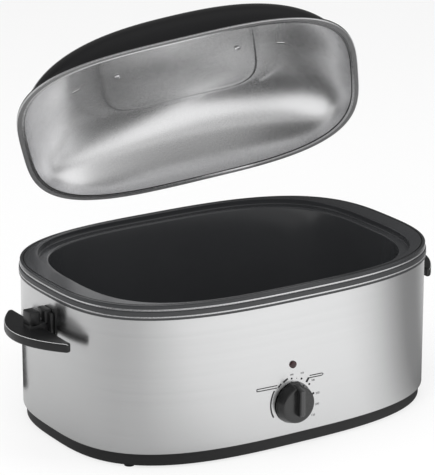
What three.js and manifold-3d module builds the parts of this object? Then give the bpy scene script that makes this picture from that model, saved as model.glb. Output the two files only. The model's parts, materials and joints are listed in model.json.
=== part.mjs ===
import * as THREE from 'three';
import Module from 'manifold-3d';
import { mergeVertices } from 'three/addons/utils/BufferGeometryUtils.js';

// Units are millimetres. The origin is the centre of the bottom plate's underside.
// +X runs along the long axis, the control knob faces -Y and +Z is up.

// Outer plan outline at the rim
const bodyLength = 540;
const bodyWidth = 377.5;
const bodyPower = 2.96;

// Heights of the body
const baseTop = 16.7;
const shellHeight = 187;

// Resting gap left between pieces that touch
const seatGap = 0.3;

// Base ring
const baseInset = 5.4;
const baseChamfer = 2;
const baseWall = 3;
const baseUpstandInset = 10;
const baseUpstandTop = 26;
const baseDeckInset = 13;
const baseFlangeInset = 22;
const baseFlangeTop = 4;
const baseLedgeInset = 34;

// Bottom plate
const plateThickness = 1.2;

// Feet pressed into the base ring
const footRadius = 7;
const footProud = 3;
const footEdge = 1;
const footStemRadius = 2.7;
const footBarbRadius = 4;
const footBarbHeight = 2;
const footInset = 13.5;
const footHeading = 39;

// Bottom plate screws
const plateScrewHeadRadius = 3;
const plateScrewShankRadius = 1.5;
const plateScrewHeadDepth = 0.8;
const plateScrewLength = 11;
const plateScrewInset = 28;
const plateScrewBossRadius = 4.2;
const plateScrewBossTop = 9;
const plateScrewHeadings = [0, 90, 180, 270];

// Outer shell
const shellInset = 1.7;
const shellThickness = 0.8;

// Rim frame
const frameEdge = 1;
const frameSkirt = 1.1;
const frameDeck = 2.6;
const frameDrop = 7;
const frameInnerInset = 8;

// Insert pan
const panSheet = 1.2;
const panLipInset = 1.2;
const panLipEdge = 2;
const panLipHeight = 7.7;
const panFlangeEnd = 32.4;
const stepGap = 0.85;
const stepPower = 3.29;
const stepDepth = 8.3;
const stepEdge = 1.5;
const ledgeEnd = 11.6;
const ledgeSide = 11.7;
const mouthPower = 3.2;
const panDraft = 16;
const panCorner = 20;
const panFloorDish = 1;

// Heat well
const wellSheet = 0.8;
const wellFlangeInset = 2;
const wellGapEnd = 10.8;
const wellGapSide = 6.8;
const wellPower = 3.2;
const wellFootGapEnd = 12;
const wellFootGapSide = 7;
const wellFloor = 34;
const wellCorner = 16;
const floorGap = 10;

// Heater bands round the well
const bandThickness = 1.8;
const bandHeight = 20;
const bandDrop = 42;
const bandPitch = 40;
const bandTabLength = 16;
const bandTabDepth = 5;
const bandTabHeight = 8;
const bandTabX = 60;

// Control knob
const knobX = -15;
const knobZ = 60;
const knobRadius = 25;
const knobFrontRadius = 22.5;
const knobSkirtDepth = 9;
const knobDepth = 22;
const knobFaceDepth = 13;
const knobStandoff = 1.4;
const knobEdge = 1.2;
const knobHollowRadius = 21;
const knobHollowDepth = 6.5;
const knobGripWidth = 11;
const knobGripLength = 43;
const knobGripEdge = 1.5;
const knobGripBulge = 1.6;
const knobNoseWidth = 6;
const knobNoseReach = 2.6;
const knobNoseDepth = 5;
const knobBoreDepth = 12;

// Thermostat
const thermostatWidth = 34;
const thermostatDepth = 19;
const thermostatShellGap = 1.2;
const bushingRadius = 5;
const bushingProud = 5;
const shaftRadius = 3;
const shaftInside = 12;
const shaftProud = 14;
const nutRadius = 8;
const nutThickness = 2.6;
const nutSides = 6;
const tabWidth = 6.3;
const tabThickness = 0.8;
const tabLength = 8;
const tabOffset = 9;

// Indicator lamp
const lampX = -16;
const lampRise = 52;
const lensRadius = 4.9;
const lensDome = 2.6;
const lensCollar = 1;
const lensStemRadius = 3.6;
const lensStemLength = 8;
const lampRadius = 6;
const lampBore = 3.9;
const lampLength = 15;

// Terminal block on the bottom plate
const terminalLength = 42;
const terminalDepth = 20;
const terminalHeight = 16;
const terminalX = 150;
const terminalGap = 3.4;
const terminalSlotWidth = 8;
const terminalSlotDepth = 7;
const terminalPitch = 13;
const terminalWays = 3;

// Cord gland in the back of the shell
const glandX = 40;
const glandZ = 42;
const glandRadius = 9;
const glandStemRadius = 6.5;
const glandBore = 3.8;
const glandHead = 3;
const glandInside = 9;
const glandLockRadius = 8;
const glandLockDepth = 3;

// Thermal cut-out on the well
const cutoutX = 44;
const cutoutDrop = 26;
const cutoutRadius = 8;
const cutoutDepth = 6;
const cutoutFlange = 1.5;
const cutoutFlangeRadius = 11;

// Side handles
const handleDrop = 22;
const handleGripDrop = 36;
const handleThickness = 12.5;
const handleHalfLength = 78;
const handleStandoff = 51.7;
const handleEndStandoff = 16;
const handleGripInner = 10;
const handleEdge = 2;
const handleBlockWidth = 20;
const handleProngOuter = 31;
const handleProngInner = 16;
const handlePlateOuter = 10;
const handleNotchDepth = 16;
const handlePadWidth = 34;
const handlePadDepth = 5;
const handlePadDrop = 4;
const handlePadHeight = 44;
const handleScrewMargin = 11;
const handleScrewPitch = 23;
const handleScrewRadius = 2;
const handleScrewHeadRadius = 4;
const handleScrewHeadDepth = 2.4;
const handleScrewLength = 11;
const handleBackWidth = 24;
const handleBackHeight = 42;
const handleBackSheet = 1.5;

// Lid
const lidClearance = 1.5;
const lidRimPower = 3.29;
const lidTopPower = 2.9;
const lidSheet = 1.2;
const lidHeight = 94.6;
const lidCrown = 28.3;
const lidSpreadShare = 0.7;
const lidWallInset = 9;
const lidArchRadius = 920;
const lidBeadWidth = 4;
const lidBeadHeight = 4.5;
const lidBeadEdge = 1;
const lidFlangeEnd = 8;
const lidDomeStart = 3;
const recessEndReach = 26.5;
const recessSideInset = 85.2;
const recessPower = 4.5;
const recessSlope = 5;
const recessDepth = 2.5;
const recessFloorShares = [0.88, 0.76, 0.45];
const slitReach = 33.4;
const slitLength = 11;
const slitWidth = 3;

// Lid handle
const gripSpan = 85.5;
const gripWidth = 26;
const gripEndReach = 15;
const gripPostReach = 14;
const gripRise = 34;
const gripShoulder = 20;
const gripGap = 20;
const gripEdge = 2.5;
const lidScrewHeadRadius = 4.5;
const lidScrewHeadDepth = 2.4;
const lidScrewShankRadius = 2;
const lidScrewLength = 15;
const lidScrewPointShare = 0.6;

// Raised pose of the lid: a swing about a level axis and a turn about one handle screw.
// They end with the lid level just over the pan's lip, as it drops into the lip's step unturned.
const poleX = 72;
const poleBehind = 56.7;
const poleDrop = 48.3;
const swingHeading = 164.3;
const swingAngle = 50.1;
const turnAngle = -31.5;

// Mesh fineness
const ringSegments = 60;
const roundSegments = 24;
const smallSegments = 12;
const cornerSteps = 4;
const domeSteps = 8;
const bowSteps = 10;
const bisectSteps = 40;
const weldTolerance = 0.0001;

const half = (value) => value / 2;
const halfLength = half(bodyLength);
const halfWidth = half(bodyWidth);

// Heights that follow from what each piece stands on
const shellBottom = baseTop + seatGap;
const shellTop = shellBottom + shellHeight;
const frameBottom = shellTop - frameDrop;
const frameTop = shellTop + 2 * seatGap + wellSheet + frameDeck;
const panLipBottom = frameTop + seatGap;
const rimTop = panLipBottom + panLipHeight;
const ledgeHeight = rimTop - stepDepth;
const lidStop = rimTop + 2 * seatGap;
const wellFootHeight = wellFloor + wellCorner;
const panFloor = wellFloor + wellSheet + floorGap + panSheet;
const panWallFoot = panFloor + panCorner;
const bandUpperHeight = shellTop - bandDrop;
const bandLowerHeight = bandUpperHeight - bandPitch;
const cutoutZ = bandLowerHeight - cutoutDrop;
const lampZ = knobZ + lampRise;
const handleBlockTop = shellTop - handleDrop;
const handleZ = handleBlockTop - handleGripDrop;
const handleNotchFloor = handleBlockTop - handleNotchDepth;
const handlePadTop = handleBlockTop - handlePadDrop;
const handlePadBottom = handlePadTop - handlePadHeight;
const handleScrewLow = handlePadBottom + handleScrewMargin;
const handleScrewHigh = handleScrewLow + handleScrewPitch;

// Outlines nested in the body's, each set in from the one round it
const shellHemInset = baseUpstandInset - seatGap;
const stepHalfLength = halfLength - panFlangeEnd;
const stepHalfWidth = halfWidth - frameInnerInset - stepGap - panSheet;
const mouthHalfLength = stepHalfLength - ledgeEnd;
const mouthHalfWidth = stepHalfWidth - ledgeSide;
const panFootHalfLength = mouthHalfLength - panDraft;
const panFootHalfWidth = mouthHalfWidth - panDraft;
const wellTopHalfLength = mouthHalfLength + wellGapEnd;
const wellTopHalfWidth = mouthHalfWidth + wellGapSide;
const wellFootHalfLength = panFootHalfLength + wellFootGapEnd;
const wellFootHalfWidth = panFootHalfWidth + wellFootGapSide;
const lidHalfLength = stepHalfLength - lidClearance;
const lidHalfWidth = stepHalfWidth - lidClearance;
const lidSpread = lidHalfWidth - lidWallInset - lidCrown;
const recessHalfLength = gripSpan + recessEndReach;
const recessHalfWidth = lidHalfWidth - recessSideInset;
const slitX = recessHalfLength + slitReach;
const poleY = halfWidth + poleBehind;
const poleZ = lidStop - poleDrop;

const wasm = await Module();
wasm.setup();

function outward(geometry) {
  const position = geometry.getAttribute('position');
  const index = geometry.getIndex();
  const a = new THREE.Vector3();
  const b = new THREE.Vector3();
  const c = new THREE.Vector3();
  let volume = 0;
  for (let i = 0; i < index.count; i += 3) {
    a.fromBufferAttribute(position, index.getX(i));
    b.fromBufferAttribute(position, index.getX(i + 1));
    c.fromBufferAttribute(position, index.getX(i + 2));
    volume += a.dot(b.cross(c));
  }
  if (volume < 0) {
    for (let i = 0; i < index.count; i += 3) {
      const kept = index.getX(i);
      index.setX(i, index.getX(i + 2));
      index.setX(i + 2, kept);
    }
  }
  return geometry;
}

// Ring of points on a superellipse, with a height that is a number or a function of x and y
function ringPoints(level, segments) {
  const points = [];
  for (let i = 0; i < segments; i += 1) {
    const angle = (2 * Math.PI * i) / segments;
    const c = Math.cos(angle);
    const s = Math.sin(angle);
    const reach = (Math.abs(c) ** level.n + Math.abs(s) ** level.n) ** (-1 / level.n);
    const x = level.a * c * reach;
    const y = level.b * s * reach;
    const z = typeof level.z === 'function' ? level.z(x, y) : level.z;
    points.push([x, y, z]);
  }
  return points;
}

// Closed body through a loop of levels; a level with apex set is a point on the axis
function loft(levels, segments = ringSegments) {
  const positions = [];
  const indices = [];
  const rings = levels.map((level) => {
    const start = positions.length / 3;
    if (level.apex) {
      positions.push(0, 0, level.z);
      return { start, count: 1 };
    }
    ringPoints(level, segments).forEach((point) => positions.push(...point));
    return { start, count: segments };
  });
  const loops = levels[0].apex ? rings.length - 1 : rings.length;
  for (let r = 0; r < loops; r += 1) {
    const lower = rings[r];
    const upper = rings[(r + 1) % rings.length];
    for (let i = 0; i < segments; i += 1) {
      const next = (i + 1) % segments;
      const a = lower.start + (lower.count > 1 ? i : 0);
      const b = lower.start + (lower.count > 1 ? next : 0);
      const c = upper.start + (upper.count > 1 ? next : 0);
      const d = upper.start + (upper.count > 1 ? i : 0);
      if (lower.count > 1) {
        indices.push(a, b, c);
      }
      if (upper.count > 1) {
        indices.push(a, c, d);
      }
    }
  }
  const geometry = new THREE.BufferGeometry();
  geometry.setAttribute('position', new THREE.Float32BufferAttribute(positions, 3));
  geometry.setIndex(indices);
  return outward(geometry);
}

const bodyLevel = (inset, z) => ({ a: halfLength - inset, b: halfWidth - inset, n: bodyPower, z });
const insetLevel = (a, b, n, inset, z) => ({ a: a - inset, b: b - inset, n, z });

// Point on the body outline at an inset, looking out at a heading in degrees of the outline angle
function outlinePoint(inset, heading) {
  const angle = THREE.MathUtils.degToRad(heading);
  const c = Math.cos(angle);
  const s = Math.sin(angle);
  const reach = (Math.abs(c) ** bodyPower + Math.abs(s) ** bodyPower) ** (-1 / bodyPower);
  return [(halfLength - inset) * c * reach, (halfWidth - inset) * s * reach];
}

function outlineY(inset, x) {
  const share = Math.abs(x / (halfLength - inset)) ** bodyPower;
  return (halfWidth - inset) * (1 - share) ** (1 / bodyPower);
}

function welded(geometry) {
  const bare = geometry.clone();
  bare.deleteAttribute('normal');
  bare.deleteAttribute('uv');
  return mergeVertices(bare, weldTolerance);
}

function toManifold(geometry) {
  const bare = welded(geometry);
  const vertProperties = new Float32Array(bare.getAttribute('position').array);
  const triVerts = new Uint32Array(bare.getIndex().array);
  return new wasm.Manifold(new wasm.Mesh({ numProp: 3, vertProperties, triVerts }));
}

function fromManifold(solid) {
  const mesh = solid.getMesh();
  const geometry = new THREE.BufferGeometry();
  geometry.setAttribute('position', new THREE.Float32BufferAttribute(mesh.vertProperties, 3));
  geometry.setIndex(new THREE.Uint32BufferAttribute(mesh.triVerts, 1));
  return geometry;
}

function carve(body, cuts) {
  return fromManifold(cuts.reduce((solid, cut) => solid.subtract(toManifold(cut)), toManifold(body)));
}

function fuse(bodies) {
  const [first, ...rest] = bodies.map(toManifold);
  return fromManifold(rest.reduce((solid, body) => solid.add(body), first));
}

function block(width, depth, height, x, y, z) {
  return new THREE.BoxGeometry(width, depth, height).translate(x, y, z);
}

// Body turned about the Z axis through a list of [radius, height] corners
function turned(corners, segments = roundSegments) {
  const points = corners.map(([radius, height]) => new THREE.Vector2(radius, height));
  const geometry = new THREE.LatheGeometry(points, segments);
  return outward(welded(geometry).rotateX(Math.PI / 2));
}

// Same, with the axis turned to run along -Y from a wall point
const frontTurned = (corners, x, y, z, segments) => turned(corners, segments)
  .rotateX(Math.PI / 2)
  .translate(x, y, z);
const backTurned = (corners, x, y, z, segments) => turned(corners, segments)
  .rotateX(-Math.PI / 2)
  .translate(x, y, z);
const sideTurned = (corners, x, y, z, side, segments) => turned(corners, segments)
  .rotateY((side * Math.PI) / 2)
  .translate(x, y, z);
const rod = (radius, from, to) => [[0, from], [radius, from], [radius, to], [0, to]];
const tube = (bore, radius, from, to) => [[bore, from], [radius, from], [radius, to], [bore, to], [bore, from]];

function outlineShape(points) {
  const shape = new THREE.Shape();
  shape.moveTo(...points[0]);
  points.slice(1).forEach((point) => shape.lineTo(...point));
  shape.closePath();
  return shape;
}

function extruded(shape, depth, edge) {
  const settings = edge > 0
    ? {
      depth: depth - 2 * edge,
      bevelEnabled: true,
      bevelThickness: edge,
      bevelSize: edge,
      bevelOffset: -edge,
      bevelSegments: 2,
      curveSegments: smallSegments,
    }
    : { depth, bevelEnabled: false, curveSegments: smallSegments };
  return welded(new THREE.ExtrudeGeometry(shape, settings).translate(0, 0, edge));
}

const finishes = {
  steel: { color: '#c9cbcc', roughness: 0.32, metalness: 1 },
  frame: { color: '#3d3f41', roughness: 0.45, metalness: 0.1 },
  base: { color: '#2c2c2d', roughness: 0.5, metalness: 0 },
  handle: { color: '#222324', roughness: 0.42, metalness: 0 },
  knob: { color: '#2b2c2d', roughness: 0.35, metalness: 0 },
  pan: { color: '#3a3d40', roughness: 0.4, metalness: 0.1 },
  lid: { color: '#101112', roughness: 0.15, metalness: 0.2 },
  zinc: { color: '#b4b6b6', roughness: 0.4, metalness: 1 },
  screw: { color: '#d0d1d1', roughness: 0.25, metalness: 1 },
  rubber: { color: '#1c1c1c', roughness: 0.8, metalness: 0 },
  mica: { color: '#b9a88a', roughness: 0.7, metalness: 0 },
  lens: { color: '#5a0c10', roughness: 0.2, metalness: 0 },
  ceramic: { color: '#e4e0d6', roughness: 0.4, metalness: 0 },
};

const root = new THREE.Group();
root.name = 'electric_roaster_oven';

function add(parent, name, geometry, finish) {
  const material = new THREE.MeshStandardMaterial(finishes[finish]);
  const mesh = new THREE.Mesh(geometry, material);
  mesh.name = name;
  parent.add(mesh);
  return mesh;
}

function group(name, parent) {
  const made = new THREE.Group();
  made.name = name;
  parent.add(made);
  return made;
}

const body = group('body', root);
const wallInset = shellInset + shellThickness;

// Base ring with its foot holes and screw bosses
const footHeadings = [footHeading, 180 - footHeading, 180 + footHeading, -footHeading];
const footPoints = footHeadings.map((heading) => outlinePoint(footInset, heading));
const plateScrewPoints = plateScrewHeadings.map((heading) => outlinePoint(plateScrewInset, heading));
const ledgeBottom = plateThickness + seatGap;

function baseRing() {
  const ring = loft([
    bodyLevel(baseInset + baseChamfer, 0),
    bodyLevel(baseInset, baseChamfer),
    bodyLevel(baseInset, baseTop),
    bodyLevel(baseUpstandInset, baseTop),
    bodyLevel(baseUpstandInset, baseUpstandTop),
    bodyLevel(baseDeckInset, baseUpstandTop),
    bodyLevel(baseDeckInset, baseTop - baseWall),
    bodyLevel(baseInset + baseWall, baseTop - baseWall),
    bodyLevel(baseInset + baseWall, baseFlangeTop),
    bodyLevel(baseLedgeInset, baseFlangeTop),
    bodyLevel(baseLedgeInset, ledgeBottom),
    bodyLevel(baseFlangeInset, ledgeBottom),
    bodyLevel(baseFlangeInset, 0),
  ]);
  const bosses = plateScrewPoints.map(([x, y]) => turned(
    rod(plateScrewBossRadius, half(ledgeBottom + baseFlangeTop), plateScrewBossTop),
    smallSegments,
  ).translate(x, y, 0));
  const holes = [
    ...footPoints.map(([x, y]) => turned(
      rod(footStemRadius + seatGap, -footProud, baseFlangeTop + footProud),
      smallSegments,
    ).translate(x, y, 0)),
    ...plateScrewPoints.map(([x, y]) => turned(
      rod(plateScrewShankRadius + seatGap, -footProud, plateScrewLength + seatGap),
      smallSegments,
    ).translate(x, y, 0)),
  ];
  return carve(fuse([ring, ...bosses]), holes);
}
add(body, 'base_ring', baseRing(), 'base');

// Bottom plate with countersunk screw holes
const countersink = (grow, from) => [
  [0, from],
  [plateScrewHeadRadius + grow, from],
  [plateScrewHeadRadius + grow, 0],
  [plateScrewShankRadius + grow, plateScrewHeadDepth],
  [plateScrewShankRadius + grow, plateScrewLength],
  [0, plateScrewLength],
];
const plateInset = baseFlangeInset + seatGap;
const plate = loft([
  { apex: true, z: 0 },
  bodyLevel(plateInset, 0),
  bodyLevel(plateInset, plateThickness),
  { apex: true, z: plateThickness },
]);
add(body, 'bottom_plate', carve(plate, plateScrewPoints.map(([x, y]) => turned(
  countersink(seatGap, -footProud),
  smallSegments,
).translate(x, y, 0))), 'zinc');
plateScrewPoints.forEach(([x, y], i) => add(body, `plate_screw_${i + 1}`, turned([
  [0, seatGap],
  [plateScrewHeadRadius - seatGap, seatGap],
  [plateScrewShankRadius, plateScrewHeadDepth],
  [plateScrewShankRadius, plateScrewBossTop],
  [0, plateScrewBossTop],
], smallSegments).translate(x, y, 0), 'zinc'));

const footNames = ['foot_back_right', 'foot_back_left', 'foot_front_left', 'foot_front_right'];
footPoints.forEach(([x, y], i) => add(body, footNames[i], turned([
  [0, -footProud],
  [footRadius - footEdge, -footProud],
  [footRadius, footEdge - footProud],
  [footRadius, -seatGap],
  [footStemRadius, -seatGap],
  [footStemRadius, baseFlangeTop + seatGap],
  [footBarbRadius, baseFlangeTop + seatGap],
  [footStemRadius - footEdge, baseFlangeTop + footBarbHeight],
  [0, baseFlangeTop + footBarbHeight],
], smallSegments).translate(x, y, 0), 'rubber'));

// Outer shell with its openings for the control, lamp, handles and cord gland
const frontY = -outlineY(shellInset, knobX);
const lampY = -outlineY(shellInset, lampX);
const glandY = outlineY(shellInset, glandX);
const endX = halfLength - shellInset;
const through = 4 * shellThickness;
const handleScrewHeights = [handleScrewLow, handleScrewHigh];

function shellBody() {
  const band = loft([
    bodyLevel(shellInset, shellBottom),
    bodyLevel(shellInset, shellTop),
    bodyLevel(wallInset, shellTop),
    bodyLevel(wallInset, shellBottom + shellThickness),
    bodyLevel(shellHemInset, shellBottom + shellThickness),
    bodyLevel(shellHemInset, shellBottom),
  ]);
  const cuts = [
    frontTurned(rod(bushingRadius + seatGap, -through, through), knobX, frontY, knobZ, smallSegments),
    frontTurned(rod(lensStemRadius + seatGap, -through, through), lampX, lampY, lampZ, smallSegments),
    backTurned(rod(glandStemRadius + seatGap, -through, through), glandX, glandY, glandZ, smallSegments),
  ];
  [-1, 1].forEach((side) => handleScrewHeights.forEach((z) => cuts.push(sideTurned(
    rod(handleScrewRadius + seatGap, -through, through),
    side * endX,
    0,
    z,
    side,
    smallSegments,
  ))));
  return carve(band, cuts);
}
add(body, 'outer_shell', shellBody(), 'steel');

// Rim frame capping the shell
const frameUnder = frameTop - frameDeck;
add(body, 'rim_frame', loft([
  bodyLevel(0, frameBottom),
  bodyLevel(0, frameTop - frameEdge),
  bodyLevel(frameEdge, frameTop),
  bodyLevel(frameInnerInset, frameTop),
  bodyLevel(frameInnerInset, frameUnder),
  bodyLevel(frameSkirt, frameUnder),
  bodyLevel(frameSkirt, frameBottom),
]), 'frame');

// Heat well hung on the shell by its flange
function quarterLevels(a, b, n, foot, floor, corner) {
  const levels = [];
  for (let i = 1; i <= cornerSteps; i += 1) {
    const angle = (half(Math.PI) * i) / cornerSteps;
    const inset = corner * (1 - Math.cos(angle));
    levels.push(insetLevel(a, b, n, inset, foot - (foot - floor) * Math.sin(angle)));
  }
  return levels;
}
const wellFlangeTop = frameUnder - seatGap;
const wellFlangeBottom = wellFlangeTop - wellSheet;
const wellInnerFloor = wellFloor + wellSheet;
add(body, 'heat_well', loft([
  { apex: true, z: wellFloor },
  ...quarterLevels(
    wellFootHalfLength,
    wellFootHalfWidth,
    wellPower,
    wellFootHeight,
    wellFloor,
    wellCorner,
  ).reverse(),
  { a: wellFootHalfLength, b: wellFootHalfWidth, n: wellPower, z: wellFootHeight },
  { a: wellTopHalfLength, b: wellTopHalfWidth, n: wellPower, z: wellFlangeBottom },
  bodyLevel(wellFlangeInset, wellFlangeBottom),
  bodyLevel(wellFlangeInset, wellFlangeTop),
  insetLevel(wellTopHalfLength, wellTopHalfWidth, wellPower, wellSheet, wellFlangeTop),
  insetLevel(wellFootHalfLength, wellFootHalfWidth, wellPower, wellSheet, wellFootHeight),
  ...quarterLevels(
    wellFootHalfLength - wellSheet,
    wellFootHalfWidth - wellSheet,
    wellPower,
    wellFootHeight,
    wellInnerFloor,
    wellCorner,
  ),
  { apex: true, z: wellInnerFloor },
]), 'zinc');

// Half sizes of the well's outer wall at a height
function wellAt(z) {
  const share = (z - wellFootHeight) / (wellFlangeBottom - wellFootHeight);
  return {
    a: THREE.MathUtils.lerp(wellFootHalfLength, wellTopHalfLength, share),
    b: THREE.MathUtils.lerp(wellFootHalfWidth, wellTopHalfWidth, share),
  };
}

function wellY(x, z) {
  const { a, b } = wellAt(z);
  return b * (1 - Math.abs(x / a) ** wellPower) ** (1 / wellPower);
}

// Heater bands follow the well's draft a gap away from it
function heaterBand(z, tabSide) {
  const low = wellAt(z);
  const high = wellAt(z + bandHeight);
  const out = seatGap + bandThickness;
  const band = loft([
    insetLevel(low.a, low.b, wellPower, -seatGap, z),
    insetLevel(low.a, low.b, wellPower, -out, z),
    insetLevel(high.a, high.b, wellPower, -out, z + bandHeight),
    insetLevel(high.a, high.b, wellPower, -seatGap, z + bandHeight),
  ]);
  const middle = z + half(bandHeight);
  const face = wellY(bandTabX, middle) + seatGap + half(bandThickness);
  const tab = block(
    bandTabLength,
    bandTabDepth,
    bandTabHeight,
    tabSide * bandTabX,
    -face - half(bandTabDepth),
    middle,
  );
  return fuse([band, tab]);
}
add(body, 'heater_band_lower', heaterBand(bandLowerHeight, 1), 'mica');
add(body, 'heater_band_upper', heaterBand(bandUpperHeight, -1), 'mica');

// Thermostat behind the control hole, held by its bushing and nut
const thermostatFront = frontY + shellThickness + thermostatShellGap;
function thermostat() {
  const case_ = block(
    thermostatWidth,
    thermostatDepth,
    thermostatWidth,
    knobX,
    thermostatFront + half(thermostatDepth),
    knobZ,
  );
  const bushing = frontTurned(
    rod(bushingRadius, -half(thermostatDepth), bushingProud),
    knobX,
    frontY,
    knobZ,
    smallSegments,
  );
  const tabs = [-1, 1].map((side) => block(
    tabWidth,
    tabThickness,
    2 * tabLength,
    knobX + side * tabOffset,
    thermostatFront + half(thermostatDepth),
    knobZ + half(thermostatWidth),
  ));
  const bore = frontTurned(
    rod(shaftRadius + seatGap, -shaftInside - seatGap, bushingProud + seatGap),
    knobX,
    frontY,
    knobZ,
    smallSegments,
  );
  return carve(fuse([case_, bushing, ...tabs]), [bore]);
}
add(body, 'thermostat', thermostat(), 'zinc');

const nutCorners = [];
for (let i = 0; i < nutSides; i += 1) {
  const angle = (2 * Math.PI * i) / nutSides;
  nutCorners.push([nutRadius * Math.cos(angle), nutRadius * Math.sin(angle)]);
}
const nutShape = outlineShape(nutCorners);
const nutHole = new THREE.Path();
nutHole.absarc(0, 0, bushingRadius + seatGap, 0, 2 * Math.PI, true);
nutShape.holes.push(nutHole);
add(body, 'thermostat_nut', extruded(nutShape, nutThickness, 0)
  .rotateX(half(Math.PI))
  .translate(knobX, frontY - seatGap, knobZ), 'zinc');

// Indicator lens and lamp holder
const lensCorners = [[0, -lensStemLength], [lensStemRadius, -lensStemLength], [lensStemRadius, seatGap]];
lensCorners.push([lensRadius, seatGap], [lensRadius, seatGap + lensCollar]);
for (let i = 1; i < cornerSteps; i += 1) {
  const angle = (half(Math.PI) * i) / cornerSteps;
  lensCorners.push([
    lensRadius * Math.cos(angle),
    seatGap + lensCollar + (lensDome - lensCollar) * Math.sin(angle),
  ]);
}
lensCorners.push([0, seatGap + lensDome]);
add(body, 'indicator_lens', frontTurned(lensCorners, lampX, lampY, lampZ, roundSegments), 'lens');
const lampFront = -shellThickness - seatGap;
add(body, 'lamp_holder', frontTurned([
  [0, lampFront - lampLength],
  [lampRadius, lampFront - lampLength],
  [lampRadius, lampFront],
  [lampBore, lampFront],
  [lampBore, -lensStemLength - seatGap],
  [0, -lensStemLength - seatGap],
], lampX, lampY, lampZ, smallSegments), 'base');

// Terminal block on the bottom plate, clear of the base ring's ledge
const terminalLimit = outlineY(baseLedgeInset, terminalX + half(terminalLength));
const terminalY = terminalLimit - terminalGap - half(terminalDepth);
function terminals() {
  const bottom = plateThickness + seatGap;
  const base = block(
    terminalLength,
    terminalDepth,
    terminalHeight,
    terminalX,
    terminalY,
    bottom + half(terminalHeight),
  );
  const slots = [];
  for (let i = 0; i < terminalWays; i += 1) {
    const x = terminalX + (i - half(terminalWays - 1)) * terminalPitch;
    slots.push(block(
      terminalSlotWidth,
      2 * terminalDepth,
      2 * terminalSlotDepth,
      x,
      terminalY,
      bottom + terminalHeight,
    ));
  }
  return carve(base, slots);
}
add(body, 'terminal_block', terminals(), 'ceramic');

// Cord gland through the back of the shell
const glandIn = -shellThickness - seatGap;
add(body, 'cord_gland', backTurned([
  [glandBore, glandHead],
  [glandRadius, glandHead],
  [glandRadius, seatGap],
  [glandStemRadius, seatGap],
  [glandStemRadius, -glandInside],
  [glandBore, -glandInside],
  [glandBore, glandHead],
], glandX, glandY, glandZ, roundSegments), 'base');
add(body, 'gland_lock_ring', backTurned(
  tube(glandStemRadius + seatGap, glandLockRadius, glandIn - glandLockDepth, glandIn),
  glandX,
  glandY,
  glandZ,
  roundSegments,
), 'base');

// Thermal cut-out against the well
const cutoutY = -wellY(cutoutX, cutoutZ + cutoutFlangeRadius) - 2 * seatGap;
add(body, 'thermal_cutout', frontTurned([
  [0, 0],
  [cutoutFlangeRadius, 0],
  [cutoutFlangeRadius, cutoutFlange],
  [cutoutRadius, cutoutFlange],
  [cutoutRadius, cutoutDepth],
  [0, cutoutDepth],
], cutoutX, cutoutY, cutoutZ, smallSegments), 'ceramic');

// Side handle: a crescent grip under a central block with a slot that holds the lid on edge
function gripOutline() {
  const outer = [];
  const inner = [];
  for (let i = 0; i <= bowSteps; i += 1) {
    const share = (2 * i) / bowSteps - 1;
    const y = share * handleHalfLength;
    const reach = handleStandoff - (handleStandoff - handleEndStandoff) * share * share;
    outer.push([reach, y]);
    inner.push([handleGripInner, y]);
  }
  return outlineShape([...outer, ...inner.reverse()]);
}

function sideHandle() {
  const grip = extruded(gripOutline(), handleThickness, handleEdge).translate(0, 0, handleZ);
  const blockBottom = handleZ + handleEdge;
  const arm = block(
    handleProngOuter - seatGap,
    handleBlockWidth,
    handleBlockTop - blockBottom,
    half(handleProngOuter + seatGap),
    0,
    half(handleBlockTop + blockBottom),
  );
  const pad = block(
    handlePadDepth,
    handlePadWidth,
    handlePadTop - handlePadBottom,
    half(handlePadDepth) + seatGap,
    0,
    half(handlePadTop + handlePadBottom),
  );
  const notch = block(
    handleProngInner - handlePlateOuter,
    2 * handleBlockWidth,
    2 * (handleBlockTop - handleNotchFloor),
    half(handleProngInner + handlePlateOuter),
    0,
    handleBlockTop,
  );
  const holes = handleScrewHeights.map((z) => sideTurned(
    rod(handleScrewRadius + seatGap, -handleStandoff, handleScrewLength),
    0,
    0,
    z,
    1,
    smallSegments,
  ));
  return carve(fuse([carve(arm, [notch]), grip, pad]), holes);
}

const rightHandle = sideHandle();
const mirrored = (geometry) => {
  const copy = geometry.clone();
  copy.scale(-1, 1, 1);
  return outward(copy);
};
add(body, 'handle_right', rightHandle, 'handle').position.x = endX;
add(body, 'handle_left', mirrored(rightHandle), 'handle').position.x = -endX;

function backingPlate() {
  const sheet = block(
    handleBackSheet,
    handleBackWidth,
    handleBackHeight,
    -shellThickness - seatGap - half(handleBackSheet),
    0,
    half(handleScrewLow + handleScrewHigh),
  );
  return carve(sheet, handleScrewHeights.map((z) => sideTurned(
    rod(handleScrewRadius + seatGap, -handleStandoff, handleScrewLength),
    0,
    0,
    z,
    1,
    smallSegments,
  )));
}
const rightBacking = backingPlate();
add(body, 'handle_plate_right', rightBacking, 'zinc').position.x = endX;
add(body, 'handle_plate_left', mirrored(rightBacking), 'zinc').position.x = -endX;

const handleScrewSeat = -shellThickness - 2 * seatGap - handleBackSheet;
const handleScrewCorners = [
  [0, handleScrewSeat - handleScrewHeadDepth],
  [handleScrewHeadRadius, handleScrewSeat - handleScrewHeadDepth],
  [handleScrewHeadRadius, handleScrewSeat],
  [handleScrewRadius, handleScrewSeat],
  [handleScrewRadius, handleScrewLength - seatGap],
  [0, handleScrewLength - seatGap],
];
[[-1, 'left'], [1, 'right']].forEach(([side, name]) => handleScrewHeights.forEach((z, i) => {
  const screw = sideTurned(handleScrewCorners, side * endX, 0, z, side, smallSegments);
  add(body, `handle_screw_${name}_${i + 1}`, screw, 'zinc');
}));

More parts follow.
